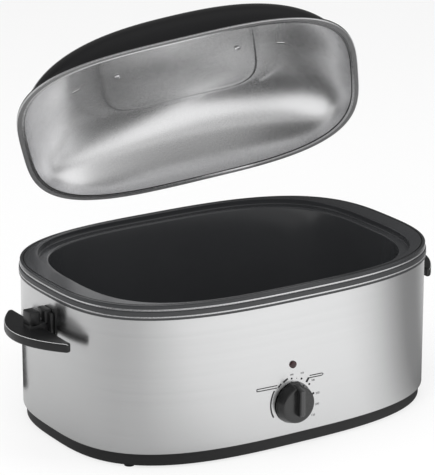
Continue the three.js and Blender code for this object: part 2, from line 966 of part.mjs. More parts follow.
// Knob and its shaft
const control = group('control', root);
function knobBody() {
  const face = knobStandoff + knobFaceDepth;
  const top = knobStandoff + knobDepth;
  const skirt = turned([
    [0, knobStandoff + knobHollowDepth],
    [knobHollowRadius, knobStandoff + knobHollowDepth],
    [knobHollowRadius, knobStandoff],
    [knobRadius, knobStandoff],
    [knobRadius, knobStandoff + knobSkirtDepth - knobEdge],
    [knobRadius - knobEdge, knobStandoff + knobSkirtDepth],
    [knobFrontRadius, knobStandoff + knobSkirtDepth],
    [knobFrontRadius - knobEdge, face - knobEdge],
    [knobFrontRadius - 2 * knobEdge, face],
    [0, face],
  ]);
  const reach = half(knobGripLength);
  const side = half(knobGripWidth);
  const gripPoints = [];
  [1, -1].forEach((end) => {
    for (let i = 0; i <= cornerSteps; i += 1) {
      const share = 1 - (2 * i) / cornerSteps;
      const bulge = knobGripBulge * (1 - share * share);
      gripPoints.push([end * share * side, end * (reach - knobGripBulge + bulge)]);
    }
  });
  const gripShape = outlineShape(gripPoints);
  const blade = extruded(gripShape, top - knobStandoff - knobHollowDepth - knobEdge, knobGripEdge)
    .translate(0, 0, knobStandoff + knobHollowDepth + knobEdge);
  const noseShape = outlineShape([
    [-knobNoseWidth, knobHollowRadius + knobEdge],
    [knobNoseWidth, knobHollowRadius + knobEdge],
    [0, knobRadius + knobNoseReach],
  ]);
  const nose = extruded(noseShape, knobNoseDepth, 0).translate(0, 0, knobStandoff);
  const boreFrom = shaftProud + seatGap;
  const bore = turned(rod(shaftRadius + seatGap, -shaftInside, boreFrom), smallSegments);
  return carve(fuse([skirt, blade, nose]), [bore]).rotateX(half(Math.PI));
}
add(control, 'knob', knobBody(), 'knob').position.set(knobX, frontY, knobZ);
add(control, 'knob_shaft', frontTurned(
  rod(shaftRadius, -shaftInside, shaftProud),
  knobX,
  frontY,
  knobZ,
  smallSegments,
), 'screw');

// Insert pan: lip, flange, lid ledge, drafted wall and floor
const pan = group('pan', root);
add(pan, 'insert_pan', loft([
  bodyLevel(panLipInset, panLipBottom),
  bodyLevel(panLipInset, rimTop - panLipEdge),
  bodyLevel(panLipInset + panLipEdge, rimTop),
  insetLevel(stepHalfLength, stepHalfWidth, stepPower, -stepEdge, rimTop),
  { a: stepHalfLength, b: stepHalfWidth, n: stepPower, z: rimTop - stepEdge },
  { a: stepHalfLength, b: stepHalfWidth, n: stepPower, z: ledgeHeight },
  insetLevel(mouthHalfLength, mouthHalfWidth, mouthPower, -stepEdge, ledgeHeight),
  { a: mouthHalfLength, b: mouthHalfWidth, n: mouthPower, z: ledgeHeight - stepEdge },
  { a: panFootHalfLength, b: panFootHalfWidth, n: mouthPower, z: panWallFoot },
  ...quarterLevels(
    panFootHalfLength,
    panFootHalfWidth,
    mouthPower,
    panWallFoot,
    panFloor,
    panCorner,
  ),
  { apex: true, z: panFloor + panFloorDish },
  { apex: true, z: panFloor + panFloorDish - panSheet },
  ...quarterLevels(
    panFootHalfLength + panSheet,
    panFootHalfWidth + panSheet,
    mouthPower,
    panWallFoot,
    panFloor - panSheet,
    panCorner,
  ).reverse(),
  insetLevel(panFootHalfLength, panFootHalfWidth, mouthPower, -panSheet, panWallFoot),
  insetLevel(mouthHalfLength, mouthHalfWidth, mouthPower, -panSheet, ledgeHeight - panSheet),
  insetLevel(stepHalfLength, stepHalfWidth, stepPower, -panSheet, ledgeHeight - panSheet),
  insetLevel(stepHalfLength, stepHalfWidth, stepPower, -panSheet, rimTop - panSheet),
  bodyLevel(panLipInset + panSheet, rimTop - panSheet - half(panSheet)),
  bodyLevel(panLipInset + panSheet, panLipBottom),
]), 'pan');

// Lid in its own closed frame: the rim plane is z = 0 and the dome rises along +Z
const pole = new THREE.Vector3(poleX, poleY, poleZ);
const pivot = new THREE.Vector3(gripSpan, 0, lidStop);
const heading = THREE.MathUtils.degToRad(swingHeading);
const swingAxis = new THREE.Vector3(Math.cos(heading), Math.sin(heading), 0);
const swing = group('lid_swing', root);
swing.position.copy(pole);
swing.quaternion.setFromAxisAngle(swingAxis, THREE.MathUtils.degToRad(swingAngle));
const carrier = group('lid_carrier', swing);
carrier.position.copy(pivot).sub(pole);
const lid = group('lid', carrier);
lid.rotation.z = THREE.MathUtils.degToRad(turnAngle);
const lidFrame = group('lid_frame', lid);
lidFrame.position.x = -gripSpan;

// Dome profile as inset and height, with t from 0 at the rim to 1 on the axis
const domeInset = (t) => lidWallInset + lidSpread * (1 - Math.cos(half(Math.PI) * t) ** lidSpreadShare);
const domeHeight = (t) => lidHeight * Math.sin(half(Math.PI) * t);
const arch = (x, z) => z * (1 - (x * x) / (2 * lidArchRadius * lidHeight));
const domePower = (t) => THREE.MathUtils.lerp(lidRimPower, lidTopPower, t);

// Height of the dome surface over a point, found by halving
function domeOver(x, y, thickness) {
  let low = 0;
  let high = 1;
  for (let i = 0; i < bisectSteps; i += 1) {
    const t = half(low + high);
    const a = lidHalfLength - domeInset(t) - thickness;
    const b = lidHalfWidth - domeInset(t) - thickness;
    const n = domePower(t);
    const value = Math.abs(x / a) ** n + Math.abs(y / b) ** n;
    if (value < 1) {
      low = t;
    } else {
      high = t;
    }
  }
  return arch(x, domeHeight(low)) - thickness;
}

function domeLevels(thickness) {
  const levels = [];
  for (let i = 1; i < domeSteps; i += 1) {
    const t = i / (domeSteps + 1);
    const n = domePower(t);
    const slope = 1 - domeHeight(t) / lidHeight;
    const inset = domeInset(t) + thickness * Math.sqrt(slope);
    const drop = thickness * Math.sin(half(Math.PI) * t);
    levels.push({
      a: lidHalfLength - inset,
      b: lidHalfWidth - inset,
      n,
      z: (x) => arch(x, domeHeight(t)) - drop,
    });
  }
  const over = (sink) => (x, y) => domeOver(x, y, thickness) - sink;
  const shrink = (share, inset, sink) => ({
    a: (recessHalfLength - inset) * share,
    b: (recessHalfWidth - inset) * share,
    n: recessPower,
    z: over(sink),
  });
  levels.push(
    shrink(1, 0, 0),
    shrink(1, half(recessSlope), half(recessDepth)),
    shrink(1, recessSlope, recessDepth),
    ...recessFloorShares.map((share) => shrink(share, recessSlope, recessDepth)),
    { apex: true, z: domeOver(0, 0, thickness) - recessDepth },
  );
  return levels;
}

const lidLevel = (inset, z) => insetLevel(lidHalfLength, lidHalfWidth, lidRimPower, inset, z);
function lidBody() {
  const dome = loft([
    ...domeLevels(lidSheet).reverse(),
    lidLevel(lidWallInset + lidSheet, lidDomeStart),
    lidLevel(lidWallInset + half(lidSheet), 0),
    lidLevel(lidBeadEdge, 0),
    lidLevel(0, lidBeadEdge),
    lidLevel(0, lidBeadHeight - lidBeadEdge),
    lidLevel(lidBeadEdge, lidBeadHeight),
    lidLevel(lidBeadWidth - lidBeadEdge, lidBeadHeight),
    lidLevel(lidBeadWidth, lidBeadHeight - lidBeadEdge),
    lidLevel(lidBeadWidth, lidSheet),
    lidLevel(lidFlangeEnd, lidSheet),
    lidLevel(lidWallInset, lidDomeStart),
    ...domeLevels(0),
  ]);
  const cuts = [-1, 1].flatMap((side) => [
    block(slitLength, slitWidth, 2 * lidHeight, side * slitX, 0, lidHeight),
    turned(rod(lidScrewShankRadius + seatGap, half(lidHeight), 2 * lidHeight), smallSegments)
      .translate(side * gripSpan, 0, 0),
  ]);
  return carve(dome, cuts);
}
add(lidFrame, 'lid_shell', lidBody(), 'lid');

// Lid handle: a bow whose feet follow the lid, with blind holes for the screws
const recessTop = (x) => domeOver(x, 0, 0) - recessDepth;
const gripFoot = (x) => recessTop(x) + seatGap;
function lidHandle() {
  const ends = gripSpan + gripEndReach;
  const inner = gripSpan - gripPostReach;
  const top = recessTop(0) + gripRise;
  const under = recessTop(0) + gripGap;
  const shoulder = recessTop(ends) + gripShoulder;
  const shape = new THREE.Shape();
  shape.moveTo(-ends, gripFoot(gripSpan));
  shape.lineTo(-inner, gripFoot(inner));
  shape.quadraticCurveTo(-inner + gripEdge, under, -inner + gripShoulder, under);
  shape.lineTo(inner - gripShoulder, under);
  shape.quadraticCurveTo(inner - gripEdge, under, inner, gripFoot(inner));
  shape.lineTo(ends, gripFoot(gripSpan));
  shape.lineTo(ends, shoulder - half(gripShoulder));
  shape.quadraticCurveTo(ends, shoulder, ends - gripShoulder, half(shoulder + top));
  shape.quadraticCurveTo(half(gripSpan), top, 0, top);
  shape.quadraticCurveTo(-half(gripSpan), top, -ends + gripShoulder, half(shoulder + top));
  shape.quadraticCurveTo(-ends, shoulder, -ends, shoulder - half(gripShoulder));
  shape.closePath();
  const bow = extruded(shape, gripWidth, gripEdge)
    .rotateX(half(Math.PI))
    .translate(0, half(gripWidth), 0);
  const holes = [-1, 1].map((side) => turned(
    rod(lidScrewShankRadius + seatGap, 0, recessTop(gripSpan) + lidScrewLength + seatGap),
    smallSegments,
  ).translate(side * gripSpan, 0, 0));
  return carve(bow, holes);
}
add(lidFrame, 'lid_handle', lidHandle(), 'handle');

// Lid handle screws: heads inside the lid, shanks up into the handle
function lidScrew() {
  const seat = domeOver(gripSpan + lidScrewHeadRadius, 0, lidSheet) - recessDepth - seatGap;
  const point = recessTop(gripSpan) + lidScrewLength;
  return turned([
    [0, seat - lidScrewHeadDepth],
    [lidScrewHeadRadius * lidScrewPointShare, seat - lidScrewHeadDepth],
    [lidScrewHeadRadius, seat - half(lidScrewHeadDepth)],
    [lidScrewHeadRadius, seat],
    [lidScrewShankRadius, seat],
    [lidScrewShankRadius, point - lidScrewShankRadius],
    [lidScrewShankRadius * lidScrewPointShare, point],
    [0, point],
  ], smallSegments);
}
add(lidFrame, 'lid_screw_left', lidScrew(), 'screw').position.x = -gripSpan;
add(carrier, 'lid_screw_right', lidScrew(), 'screw');

export default root;
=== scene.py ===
import bpy
import bmesh
import json
import math
import numpy as np
from mathutils import Matrix, Vector


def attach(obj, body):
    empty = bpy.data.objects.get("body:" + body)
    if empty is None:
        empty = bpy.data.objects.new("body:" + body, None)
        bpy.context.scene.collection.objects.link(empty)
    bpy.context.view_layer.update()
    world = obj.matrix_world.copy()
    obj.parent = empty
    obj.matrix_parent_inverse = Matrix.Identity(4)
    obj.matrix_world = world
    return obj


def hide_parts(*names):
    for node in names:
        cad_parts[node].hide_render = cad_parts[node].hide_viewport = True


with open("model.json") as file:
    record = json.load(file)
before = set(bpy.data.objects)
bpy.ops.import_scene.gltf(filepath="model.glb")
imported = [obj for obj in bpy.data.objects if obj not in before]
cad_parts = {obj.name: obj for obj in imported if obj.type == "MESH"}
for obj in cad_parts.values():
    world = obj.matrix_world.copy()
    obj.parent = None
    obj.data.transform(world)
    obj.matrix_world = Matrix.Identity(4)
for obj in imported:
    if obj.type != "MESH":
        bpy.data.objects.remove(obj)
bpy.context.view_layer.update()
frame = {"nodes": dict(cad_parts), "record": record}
scene = bpy.context.scene
scene.view_settings.view_transform = "Standard"
for spare in ("Cube", "Light", "Camera"):
    if spare in bpy.data.objects:
        bpy.data.objects.remove(bpy.data.objects[spare])
print("frame loaded with", len(frame["nodes"]), "nodes")

# The object's sizes are in millimetres, the camera's, cards' and lamps' places in metres
toMetres = 0.001


def pick(spec, names):
    return [spec[name] for name in names.split()]


# Camera or lamp at a place, turned to look at a target
def aimed(name, data, place, target):
    made = bpy.data.objects.new(name, data)
    made.location = place
    made.rotation_mode = "QUATERNION"
    made.rotation_quaternion = (Vector(target) - Vector(place)).to_track_quat("-Z", "Y")
    scene.collection.objects.link(made)
    return made


cameraSpec = {"place": (-1.75781, -2.74195, 1.26005), "target": (-0.011, 0.0, 0.23124), "lens": 195.4,
              "clip": (0.1, 40.0)}
cameraData = bpy.data.cameras.new("roasterCamera")
cameraData.lens = cameraSpec["lens"]
cameraData.clip_start, cameraData.clip_end = cameraSpec["clip"]
scene.camera = aimed("roasterCamera", cameraData, cameraSpec["place"], cameraSpec["target"])


# Links or sets a shader node's inputs, by name or number
def feed(inputs, values):
    for key, value in values.items():
        if isinstance(value, bpy.types.NodeSocket):
            inputs[key].id_data.links.new(value, inputs[key])
        else:
            inputs[key].default_value = value


def addNode(tree, kind, values=None, **settings):
    made = tree.nodes.new("ShaderNode" + kind)
    for key, value in settings.items():
        setattr(made, key, value)
    feed(made.inputs, values or {})
    return made


def mathNode(tree, operation, first, second=0.0):
    return addNode(tree, "Math", {0: first, 1: second}, operation=operation).outputs[0]


def vectorNode(tree, operation, first, second):
    return addNode(tree, "VectorMath", {0: first, 1: second}, operation=operation).outputs[0]


def ranged(tree, value, fromLow, fromHigh, low=0.0, high=1.0):
    values = {"Value": value, "From Min": fromLow, "From Max": fromHigh, "To Min": low, "To Max": high}
    return addNode(tree, "MapRange", values, interpolation_type="SMOOTHSTEP").outputs["Result"]


def mixColor(tree, factor, first, second, blend="MIX"):
    values = {0: factor, 6: first, 7: second}
    return addNode(tree, "Mix", values, data_type="RGBA", blend_type=blend).outputs[2]


def mixShader(tree, factor, first, second):
    return addNode(tree, "MixShader", {0: factor, 1: first, 2: second}).outputs[0]


def objectPlace(tree):
    return addNode(tree, "TexCoord").outputs["Object"]


def noise(tree, vector, scale, detail, roughness=0.5):
    values = {"Vector": vector, "Scale": scale, "Detail": detail, "Roughness": roughness}
    return addNode(tree, "TexNoise", values).outputs["Fac"]


def facets(tree, scale):
    return addNode(tree, "TexVoronoi", {"Vector": objectPlace(tree), "Scale": scale}).outputs["Distance"]


def bumpNode(tree, height, strength, distance=0.0002):
    return addNode(tree, "Bump", {"Strength": strength, "Distance": distance, "Height": height}).outputs[0]


socketKinds = {"Color": "Color", "Worn": "Color", "Stretch": "Vector"}  # the others are Float


def newGroup(name, inputs, outputs):
    tree = bpy.data.node_groups.new(name, "ShaderNodeTree")
    for way, labels in (("INPUT", inputs), ("OUTPUT", outputs)):
        for label in labels.split():
            kind = "NodeSocket" + socketKinds.get(label, "Float")
            tree.interface.new_socket(label, in_out=way, socket_type=kind)
    return tree, tree.nodes.new("NodeGroupInput").outputs, tree.nodes.new("NodeGroupOutput").inputs


# Slow change of tone over a surface
def makeMottle():
    tree, given, out = newGroup("mottle", "Color Amount Scale", "Color")
    mask = ranged(tree, noise(tree, objectPlace(tree), given["Scale"], 4.0, 0.55), 0.3, 0.7)
    dark = mixColor(tree, 1.0, given["Color"], (0.72, 0.72, 0.73, 1), "MULTIPLY")
    share = mathNode(tree, "MULTIPLY", mask, given["Amount"])
    feed(out, {"Color": mixColor(tree, share, given["Color"], dark)})
    return tree


# Fine moulded or sprayed texture
def makeGrain():
    tree, given, out = newGroup("grain", "Scale Low High", "Roughness Height")
    place = objectPlace(tree)
    fine = noise(tree, place, given["Scale"], 3.0, 0.6)
    broad = mathNode(tree, "ADD", noise(tree, place, 14.0, 2.0), 0.5)
    rough = ranged(tree, mathNode(tree, "MULTIPLY", fine, broad), 0.25, 0.75, given["Low"], given["High"])
    feed(out, {"Roughness": rough, "Height": fine})
    return tree


# Brush lines: the stretch is small along the lines and large across them
def makeBrushed():
    tree, given, out = newGroup("brushed lines", "Stretch Low High Streak", "Roughness Height Tone")
    drawn = vectorNode(tree, "MULTIPLY", objectPlace(tree), given["Stretch"])
    lines = noise(tree, drawn, 1.0, 4.0, 0.7)
    bands = noise(tree, vectorNode(tree, "MULTIPLY", drawn, (0.6, 0.6, 0.12)), 1.0, 2.0)
    both = mathNode(tree, "MULTIPLY", mathNode(tree, "ADD", lines, bands), 0.5)
    rough = ranged(tree, both, 0.3, 0.7, given["Low"], given["High"])
    tone = mathNode(tree, "SUBTRACT", 1.0, mathNode(tree, "MULTIPLY", both, given["Streak"]))
    feed(out, {"Roughness": rough, "Height": lines, "Tone": tone})
    return tree


# Lighter worn line on outer edges
def makeEdgeWear():
    tree, given, out = newGroup("edge wear", "Color Worn Amount", "Color")
    edge = ranged(tree, addNode(tree, "NewGeometry").outputs["Pointiness"], 0.52, 0.62)
    patch = ranged(tree, noise(tree, objectPlace(tree), 160.0, 3.0), 0.35, 0.65, 0.2)
    mask = mathNode(tree, "MULTIPLY", mathNode(tree, "MULTIPLY", edge, patch), given["Amount"])
    feed(out, {"Color": mixColor(tree, mask, given["Color"], given["Worn"])})
    return tree


groups = {"mottle": makeMottle(), "grain": makeGrain(), "brushed": makeBrushed(), "wear": makeEdgeWear()}
print("shader groups made:", ", ".join(groups))


def placeGroup(tree, name, **values):
    return addNode(tree, "Group", values, node_tree=groups[name]).outputs


def newMaterial(name):
    material = bpy.data.materials.new(name)
    material.use_nodes = True
    return material, material.node_tree, material.node_tree.nodes["Principled BSDF"].inputs


# Colour from three channels or from one tone
def solid(color):
    return (*np.broadcast_to(color, 3).tolist(), 1.0)


metalMottleScale = 6.0


# Sheet metal with brush lines
def brushedMetal(name, spec):
    material, tree, shader = newMaterial(name)
    cloud = placeGroup(tree, "mottle", Color=solid(spec["color"]), Amount=spec["mottle"],
                       Scale=metalMottleScale)
    low, high = spec["rough"]
    lines = placeGroup(tree, "brushed", Stretch=spec["stretch"], Low=low, High=high, Streak=spec["streak"])
    feed(shader, {
        "Base Color": mixColor(tree, 1.0, cloud["Color"], lines["Tone"], "MULTIPLY"),
        "Roughness": lines["Roughness"], "Metallic": 1.0,
        "Anisotropic": spec["anisotropy"], "Anisotropic Rotation": 0.25,
        "Normal": bumpNode(tree, lines["Height"], spec["bump"], 0.0001),
    })
    return material


plainCoat = {"wear": 0.2, "mottle": 0.2, "mottleScale": 12.0, "grain": 1500.0, "bump": 0.05, "metal": 0.0,
             "specular": 0.5}


# Paint, enamel or moulded plastic; a spec says what differs from the plain coat
def coatedSurface(name, changes):
    spec = {**plainCoat, **changes}
    material, tree, shader = newMaterial(name)
    cloud = placeGroup(tree, "mottle", Color=solid(spec["color"]), Amount=spec["mottle"],
                       Scale=spec["mottleScale"])
    color = cloud["Color"]
    if "speck" in spec:
        mask = ranged(tree, facets(tree, spec["speckScale"]), 0.1, 0.22, spec["speckAmount"], 0.0)
        color = mixColor(tree, mask, color, solid(spec["speck"]))
    worn = placeGroup(tree, "wear", Color=color, Worn=solid(spec["worn"]), Amount=spec["wear"])
    low, high = spec["rough"]
    grain = placeGroup(tree, "grain", Scale=spec["grain"], Low=low, High=high)
    feed(shader, {
        "Base Color": worn["Color"], "Roughness": grain["Roughness"], "Metallic": spec["metal"],
        "Specular IOR Level": spec["specular"], "Normal": bumpNode(tree, grain["Height"], spec["bump"]),
    })
    return material


# Dark moulded lens with a clear skin
def mouldedLens(name, spec):
    material, tree, shader = newMaterial(name)
    cells = facets(tree, spec["cells"])
    low, high = spec["rough"]
    grain = placeGroup(tree, "grain", Scale=spec["grain"], Low=low, High=high)
    tone = mixColor(tree, ranged(tree, cells, 0.0, 0.6), solid(spec["bright"]), solid(spec["deep"]))
    feed(shader, {
        "Base Color": tone, "Roughness": grain["Roughness"], "Normal": bumpNode(tree, cells, spec["bump"]),
        "Coat Weight": spec["coat"], "Coat Roughness": spec["coatRough"],
    })
    return material


metalSet = {
    "shell_steel": {"color": (0.77, 0.773, 0.776), "mottle": 0.04, "stretch": (3.0, 3.0, 1500.0),
                    "rough": (0.2, 0.27), "streak": 0.03, "anisotropy": 0.5, "bump": 0.035},
    "zinc_steel": {"color": (0.66, 0.67, 0.68), "mottle": 0.35, "stretch": (40.0, 400.0, 400.0),
                   "rough": (0.35, 0.5), "streak": 0.15, "anisotropy": 0.2, "bump": 0.15},
    "screw_steel": {"color": (0.82, 0.82, 0.83), "mottle": 0.1, "stretch": (900.0, 900.0, 900.0),
                    "rough": (0.14, 0.24), "streak": 0.05, "anisotropy": 0.0, "bump": 0.05},
}
coatSet = {
    "frame_grey": {"color": (0.04, 0.041, 0.043), "worn": (0.12, 0.12, 0.125), "grain": 1400.0,
                   "rough": (0.3, 0.42), "bump": 0.08},
    "base_black": {"color": (0.011, 0.011, 0.0115), "worn": 0.05, "wear": 0.25, "mottle": 0.25,
                   "grain": 1600.0, "rough": (0.42, 0.58), "bump": 0.25, "specular": 0.4},
    "handle_black": {"color": (0.009, 0.0092, 0.0095), "worn": 0.07, "wear": 0.25, "mottle": 0.25,
                     "rough": (0.26, 0.36), "bump": 0.15, "specular": 0.55},
    "knob_black": {"color": (0.005, 0.0051, 0.0053), "worn": 0.05, "rough": (0.2, 0.3), "bump": 0.1,
                   "specular": 0.9},
    "pan_enamel": {"color": (0.03, 0.031, 0.033), "worn": (0.1, 0.1, 0.105), "wear": 0.15, "mottle": 0.25,
                   "speck": (0.12, 0.12, 0.125), "speckScale": 900.0, "speckAmount": 0.2,
                   "grain": 700.0, "rough": (0.13, 0.2), "bump": 0.03},
    "lid_black": {"color": (0.006, 0.006, 0.0065), "worn": 0.05, "wear": 0.15, "grain": 60.0,
                  "rough": (0.07, 0.12), "bump": 0.02, "specular": 0.4},
    "foot_rubber": {"color": 0.012, "worn": 0.05, "wear": 0.4, "mottle": 0.4, "grain": 2000.0,
                    "rough": (0.7, 0.85), "bump": 0.4, "specular": 0.2},
    "heater_mica": {"color": (0.48, 0.38, 0.25), "worn": (0.6, 0.5, 0.36), "mottle": 0.6, "grain": 500.0,
                    "rough": (0.55, 0.75), "bump": 0.4, "specular": 0.3},
    "block_ceramic": {"color": (0.77, 0.74, 0.67), "worn": (0.86, 0.84, 0.8), "wear": 0.3, "mottle": 0.3,
                      "grain": 900.0, "rough": (0.4, 0.6), "bump": 0.3, "specular": 0.4},
    "lidInside": {"color": (0.79, 0.79, 0.797), "worn": 0.86, "wear": 0.1, "mottle": 0.04, "mottleScale": 4.0,
                  "rough": (0.24, 0.29), "bump": 0.02, "metal": 1.0},
    # bright metal bands that paint highlight lines on the rim bead, the pan bead and the lid flange
    "paintedHighlightEdge": {"color": (0.72, 0.72, 0.73), "worn": 0.9, "mottle": 0.08, "grain": 900.0,
                   "rough": (0.24, 0.32), "bump": 0.03, "metal": 1.0},
    # near black that paints the shade in the pan's crease and at the lid flange's inner corner
    "creasePaintedShade": {"color": 0.012, "worn": 0.04, "wear": 0.1, "grain": 900.0, "rough": (0.5, 0.6),
                   "specular": 0.2},
    # pale grey that paints the highlight along the handle grip's rounded edge
    "handlePaintedHighlight": {"color": (0.5, 0.5, 0.502), "worn": 0.6, "mottle": 0.15, "rough": (0.16, 0.24),
                    "specular": 0.9},
    # lighter black that paints the highlight on the knob blade's front
    "knobPaintedHighlight": {"color": (0.035, 0.0352, 0.0355), "worn": 0.12, "wear": 0.35, "rough": (0.16, 0.24),
                  "bump": 0.08, "specular": 0.9},
    # grey that paints the dark pan's reflection in the bare lid flange
    "lidFlangePaintedReflection": {"color": (0.2, 0.2, 0.202), "worn": 0.3, "wear": 0.3, "mottle": 0.15, "grain": 900.0,
                  "rough": (0.3, 0.42), "specular": 0.4},
    "printInk": {"color": (0.03, 0.03, 0.032), "worn": 0.1, "wear": 0.1, "mottle": 0.5, "grain": 2500.0,
                 "rough": (0.45, 0.6), "bump": 0.1, "specular": 0.3},
}
lensSet = {
    "lens_red": {"deep": (0.018, 0.003, 0.005), "bright": (0.07, 0.012, 0.018), "cells": 900.0,
                 "grain": 600.0, "rough": (0.2, 0.28), "bump": 0.2, "coat": 0.35, "coatRough": 0.06},
}
finishes = {}
for recipe, specSet in ((brushedMetal, metalSet), (coatedSurface, coatSet), (mouldedLens, lensSet)):
    for finishName, finishSpec in specSet.items():
        finishes[finishName] = recipe(finishName, finishSpec)
print("materials made:", len(finishes))

for part in frame["record"]["subparts"]:
    nodeMaterials = frame["nodes"][part["node"]].data.materials
    nodeMaterials.clear()
    nodeMaterials.append(finishes[part["material_slot"]])


# Mesh in metres with its faces turned outwards
def closedMesh(name, points, faces):
    mesh = bpy.data.meshes.new(name)
    mesh.from_pydata((np.asarray(points, float) * toMetres).tolist(), [], faces)
    work = bmesh.new()
    work.from_mesh(mesh)
    bmesh.ops.recalc_face_normals(work, faces=work.faces)
    work.to_mesh(mesh)
    work.free()
    return mesh


def shadeSmooth(mesh, sharp=32.0):
    mesh.shade_smooth()
    mesh.set_sharp_from_angle(angle=math.radians(sharp))


# A shape is (points, faces) or (points, faces, bands), where a face's band picks its material from looks
def makePiece(name, shape, slotName, stands=(), looks=(), sharp=32.0, body="body"):
    mesh = closedMesh(name, *shape[:2])
    for look in looks or (slotName,):
        mesh.materials.append(finishes[look])
    if looks and len(shape) > 2:
        mesh.polygons.foreach_set("material_index", shape[2])
    shadeSmooth(mesh, sharp)
    piece = bpy.data.objects.new(name, mesh)
    scene.collection.objects.link(piece)
    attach(piece, body)
    if stands:
        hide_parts(*stands)
    return piece


def ovalPoint(a, b, n, angle):
    c, s = np.cos(angle), np.sin(angle)
    reach = (np.abs(c) ** n + np.abs(s) ** n) ** (-1 / n)
    return a * c * reach, b * s * reach


# Ring of a level (half length, half width, power, height), or the one point of a bare height
def ringOf(level, count):
    if np.isscalar(level):
        return np.array([[0.0, 0.0, level]])
    a, b, n, z = level[:4]
    angle = np.linspace(0, 2 * math.pi, count, endpoint=False)
    return np.stack([*ovalPoint(a, b, n, angle), np.full(count, float(z))], 1)


def loftRings(rings, closed):
    starts = np.cumsum([0] + [len(ring) for ring in rings])
    faces, owners = [], []
    for i in range(len(rings) if closed else len(rings) - 1):
        j = (i + 1) % len(rings)
        count = max(len(rings[i]), len(rings[j]))
        for k in range(count if count > 1 else 0):
            after = (k + 1) % count
            low = (starts[i] + k, starts[i] + after) if len(rings[i]) > 1 else (starts[i],)
            high = (starts[j] + after, starts[j] + k) if len(rings[j]) > 1 else (starts[j],)
            faces.append(tuple(int(v) for v in low + high))
            owners.append(i)
    return np.concatenate(rings), faces, owners


def loftCapped(rings):
    points, faces, owners = loftRings(rings, False)
    count = len(rings[0])
    faces += [tuple(range(count)), tuple(range(len(points) - count, len(points)))]
    return points, faces, owners + [0, 0]


# Closed shape from levels that carry their band at the end
def ringShape(levels, count):
    points, faces, owners = loftRings([ringOf(level, count) for level in levels], True)
    bands = [0 if np.isscalar(level) else int(level[4]) for level in levels]
    return points, faces, [bands[owner] for owner in owners]


def quadratic(start, middle, end, count=16):
    t = np.linspace(0, 1, count)[:, None]
    return (1 - t) ** 2 * np.array(start) + 2 * t * (1 - t) * np.array(middle) + t * t * np.array(end)


# Rounds the corners that have a radius. A corner is its place, then its radius and band where it has them
def roundCorners(corners, size, distance, closed, steps=4):
    made = []
    for i, corner in enumerate(corners):
        here = np.array(corner[:size], float)
        radius, band = (*corner[size:], 0, 0)[:2]
        if radius == 0 or (not closed and i in (0, len(corners) - 1)):
            made.append((*here, band))
            continue
        ends = []
        for other in (corners[i - 1], corners[(i + 1) % len(corners)]):
            step = np.array(other[:size], float) - here
            ends.append(here + step * min(radius / distance(step), 0.48))
        made += [(*spot, band) for spot in quadratic(ends[0], here, ends[1], steps + 1)]
    return made


def softLevels(levels, closed=True):
    return roundCorners(levels, 4, lambda step: math.hypot((step[0] + step[1]) / 2, step[3]), closed)


def softProfile(corners, closed=False):
    return [spot[:2] for spot in roundCorners(corners, 2, np.linalg.norm, closed)]


# Profile of (radius, height) corners turned about an axis that runs along the given direction
def turned(profile, count, origin=(0, 0, 0), direction=(0, 0, 1)):
    angle = np.linspace(0, 2 * math.pi, count, endpoint=False)
    rings = []
    for radius, height in profile:
        circle = np.stack([radius * np.cos(angle), radius * np.sin(angle), np.full(count, float(height))], 1)
        rings.append(circle if radius > 1e-6 else circle[:1])
    points, faces, owners = loftRings(rings, len(rings[0]) > 1)
    turn = np.array(Vector(direction).to_track_quat("Z", "Y").to_matrix())
    return points @ turn.T + np.array(origin, float), faces


def pin(radius, low, high, origin=(0, 0, 0), direction=(0, 0, 1), count=24):
    return turned([(0, low), (radius, low), (radius, high), (0, high)], count, origin, direction)


def joined(shapes):
    points, faces, bands, base = [], [], [], 0
    for shape in shapes:
        points.append(np.asarray(shape[0], float))
        faces += [tuple(v + base for v in face) for face in shape[1]]
        bands += shape[2] if len(shape) > 2 else [0] * len(shape[1])
        base += len(shape[0])
    return np.concatenate(points), faces, bands


# Box with rounded edges between two corners
def roundedBox(low, high, radius, steps=3):
    work = bmesh.new()
    bmesh.ops.create_cube(work, size=1.0)
    low, high = np.array(low, float), np.array(high, float)
    for vertex in work.verts:
        vertex.co = Vector((low + high) / 2 + np.array(vertex.co) * (high - low))
    bmesh.ops.bevel(work, geom=list(work.edges), offset=radius, segments=steps, profile=0.5,
                    affect="EDGES", clamp_overlap=True)
    points = np.array([list(vertex.co) for vertex in work.verts])
    faces = [tuple(vertex.index for vertex in face.verts) for face in work.faces]
    work.free()
    return points, faces


# Cuts closed shapes out of a piece
def cutOut(piece, cutters):
    cutter = bpy.data.objects.new("cutter", closedMesh("cutter", *joined(cutters)[:2]))
    scene.collection.objects.link(cutter)
    change = piece.modifiers.new("holes", "BOOLEAN")
    change.operation = "DIFFERENCE"
    change.solver = "EXACT"
    change.object = cutter
    bpy.context.view_layer.update()
    piece.data = bpy.data.meshes.new_from_object(piece.evaluated_get(bpy.context.evaluated_depsgraph_get()))
    piece.modifiers.clear()
    bpy.data.objects.remove(cutter)
    shadeSmooth(piece.data)


# The body's outline: its shape is (half length, half width, power)
outline = {"shape": (270.0, 188.75, 2.96), "segments": 288}


def levelOf(shape, inset, z, radius=0.0, band=0):
    return (shape[0] - inset, shape[1] - inset, shape[2], z, radius, band)


def bodyLevel(*values):
    return levelOf(outline["shape"], *values)


def outlinePoint(inset, heading):
    a, b, n = outline["shape"]
    return ovalPoint(a - inset, b - inset, n, math.radians(heading))


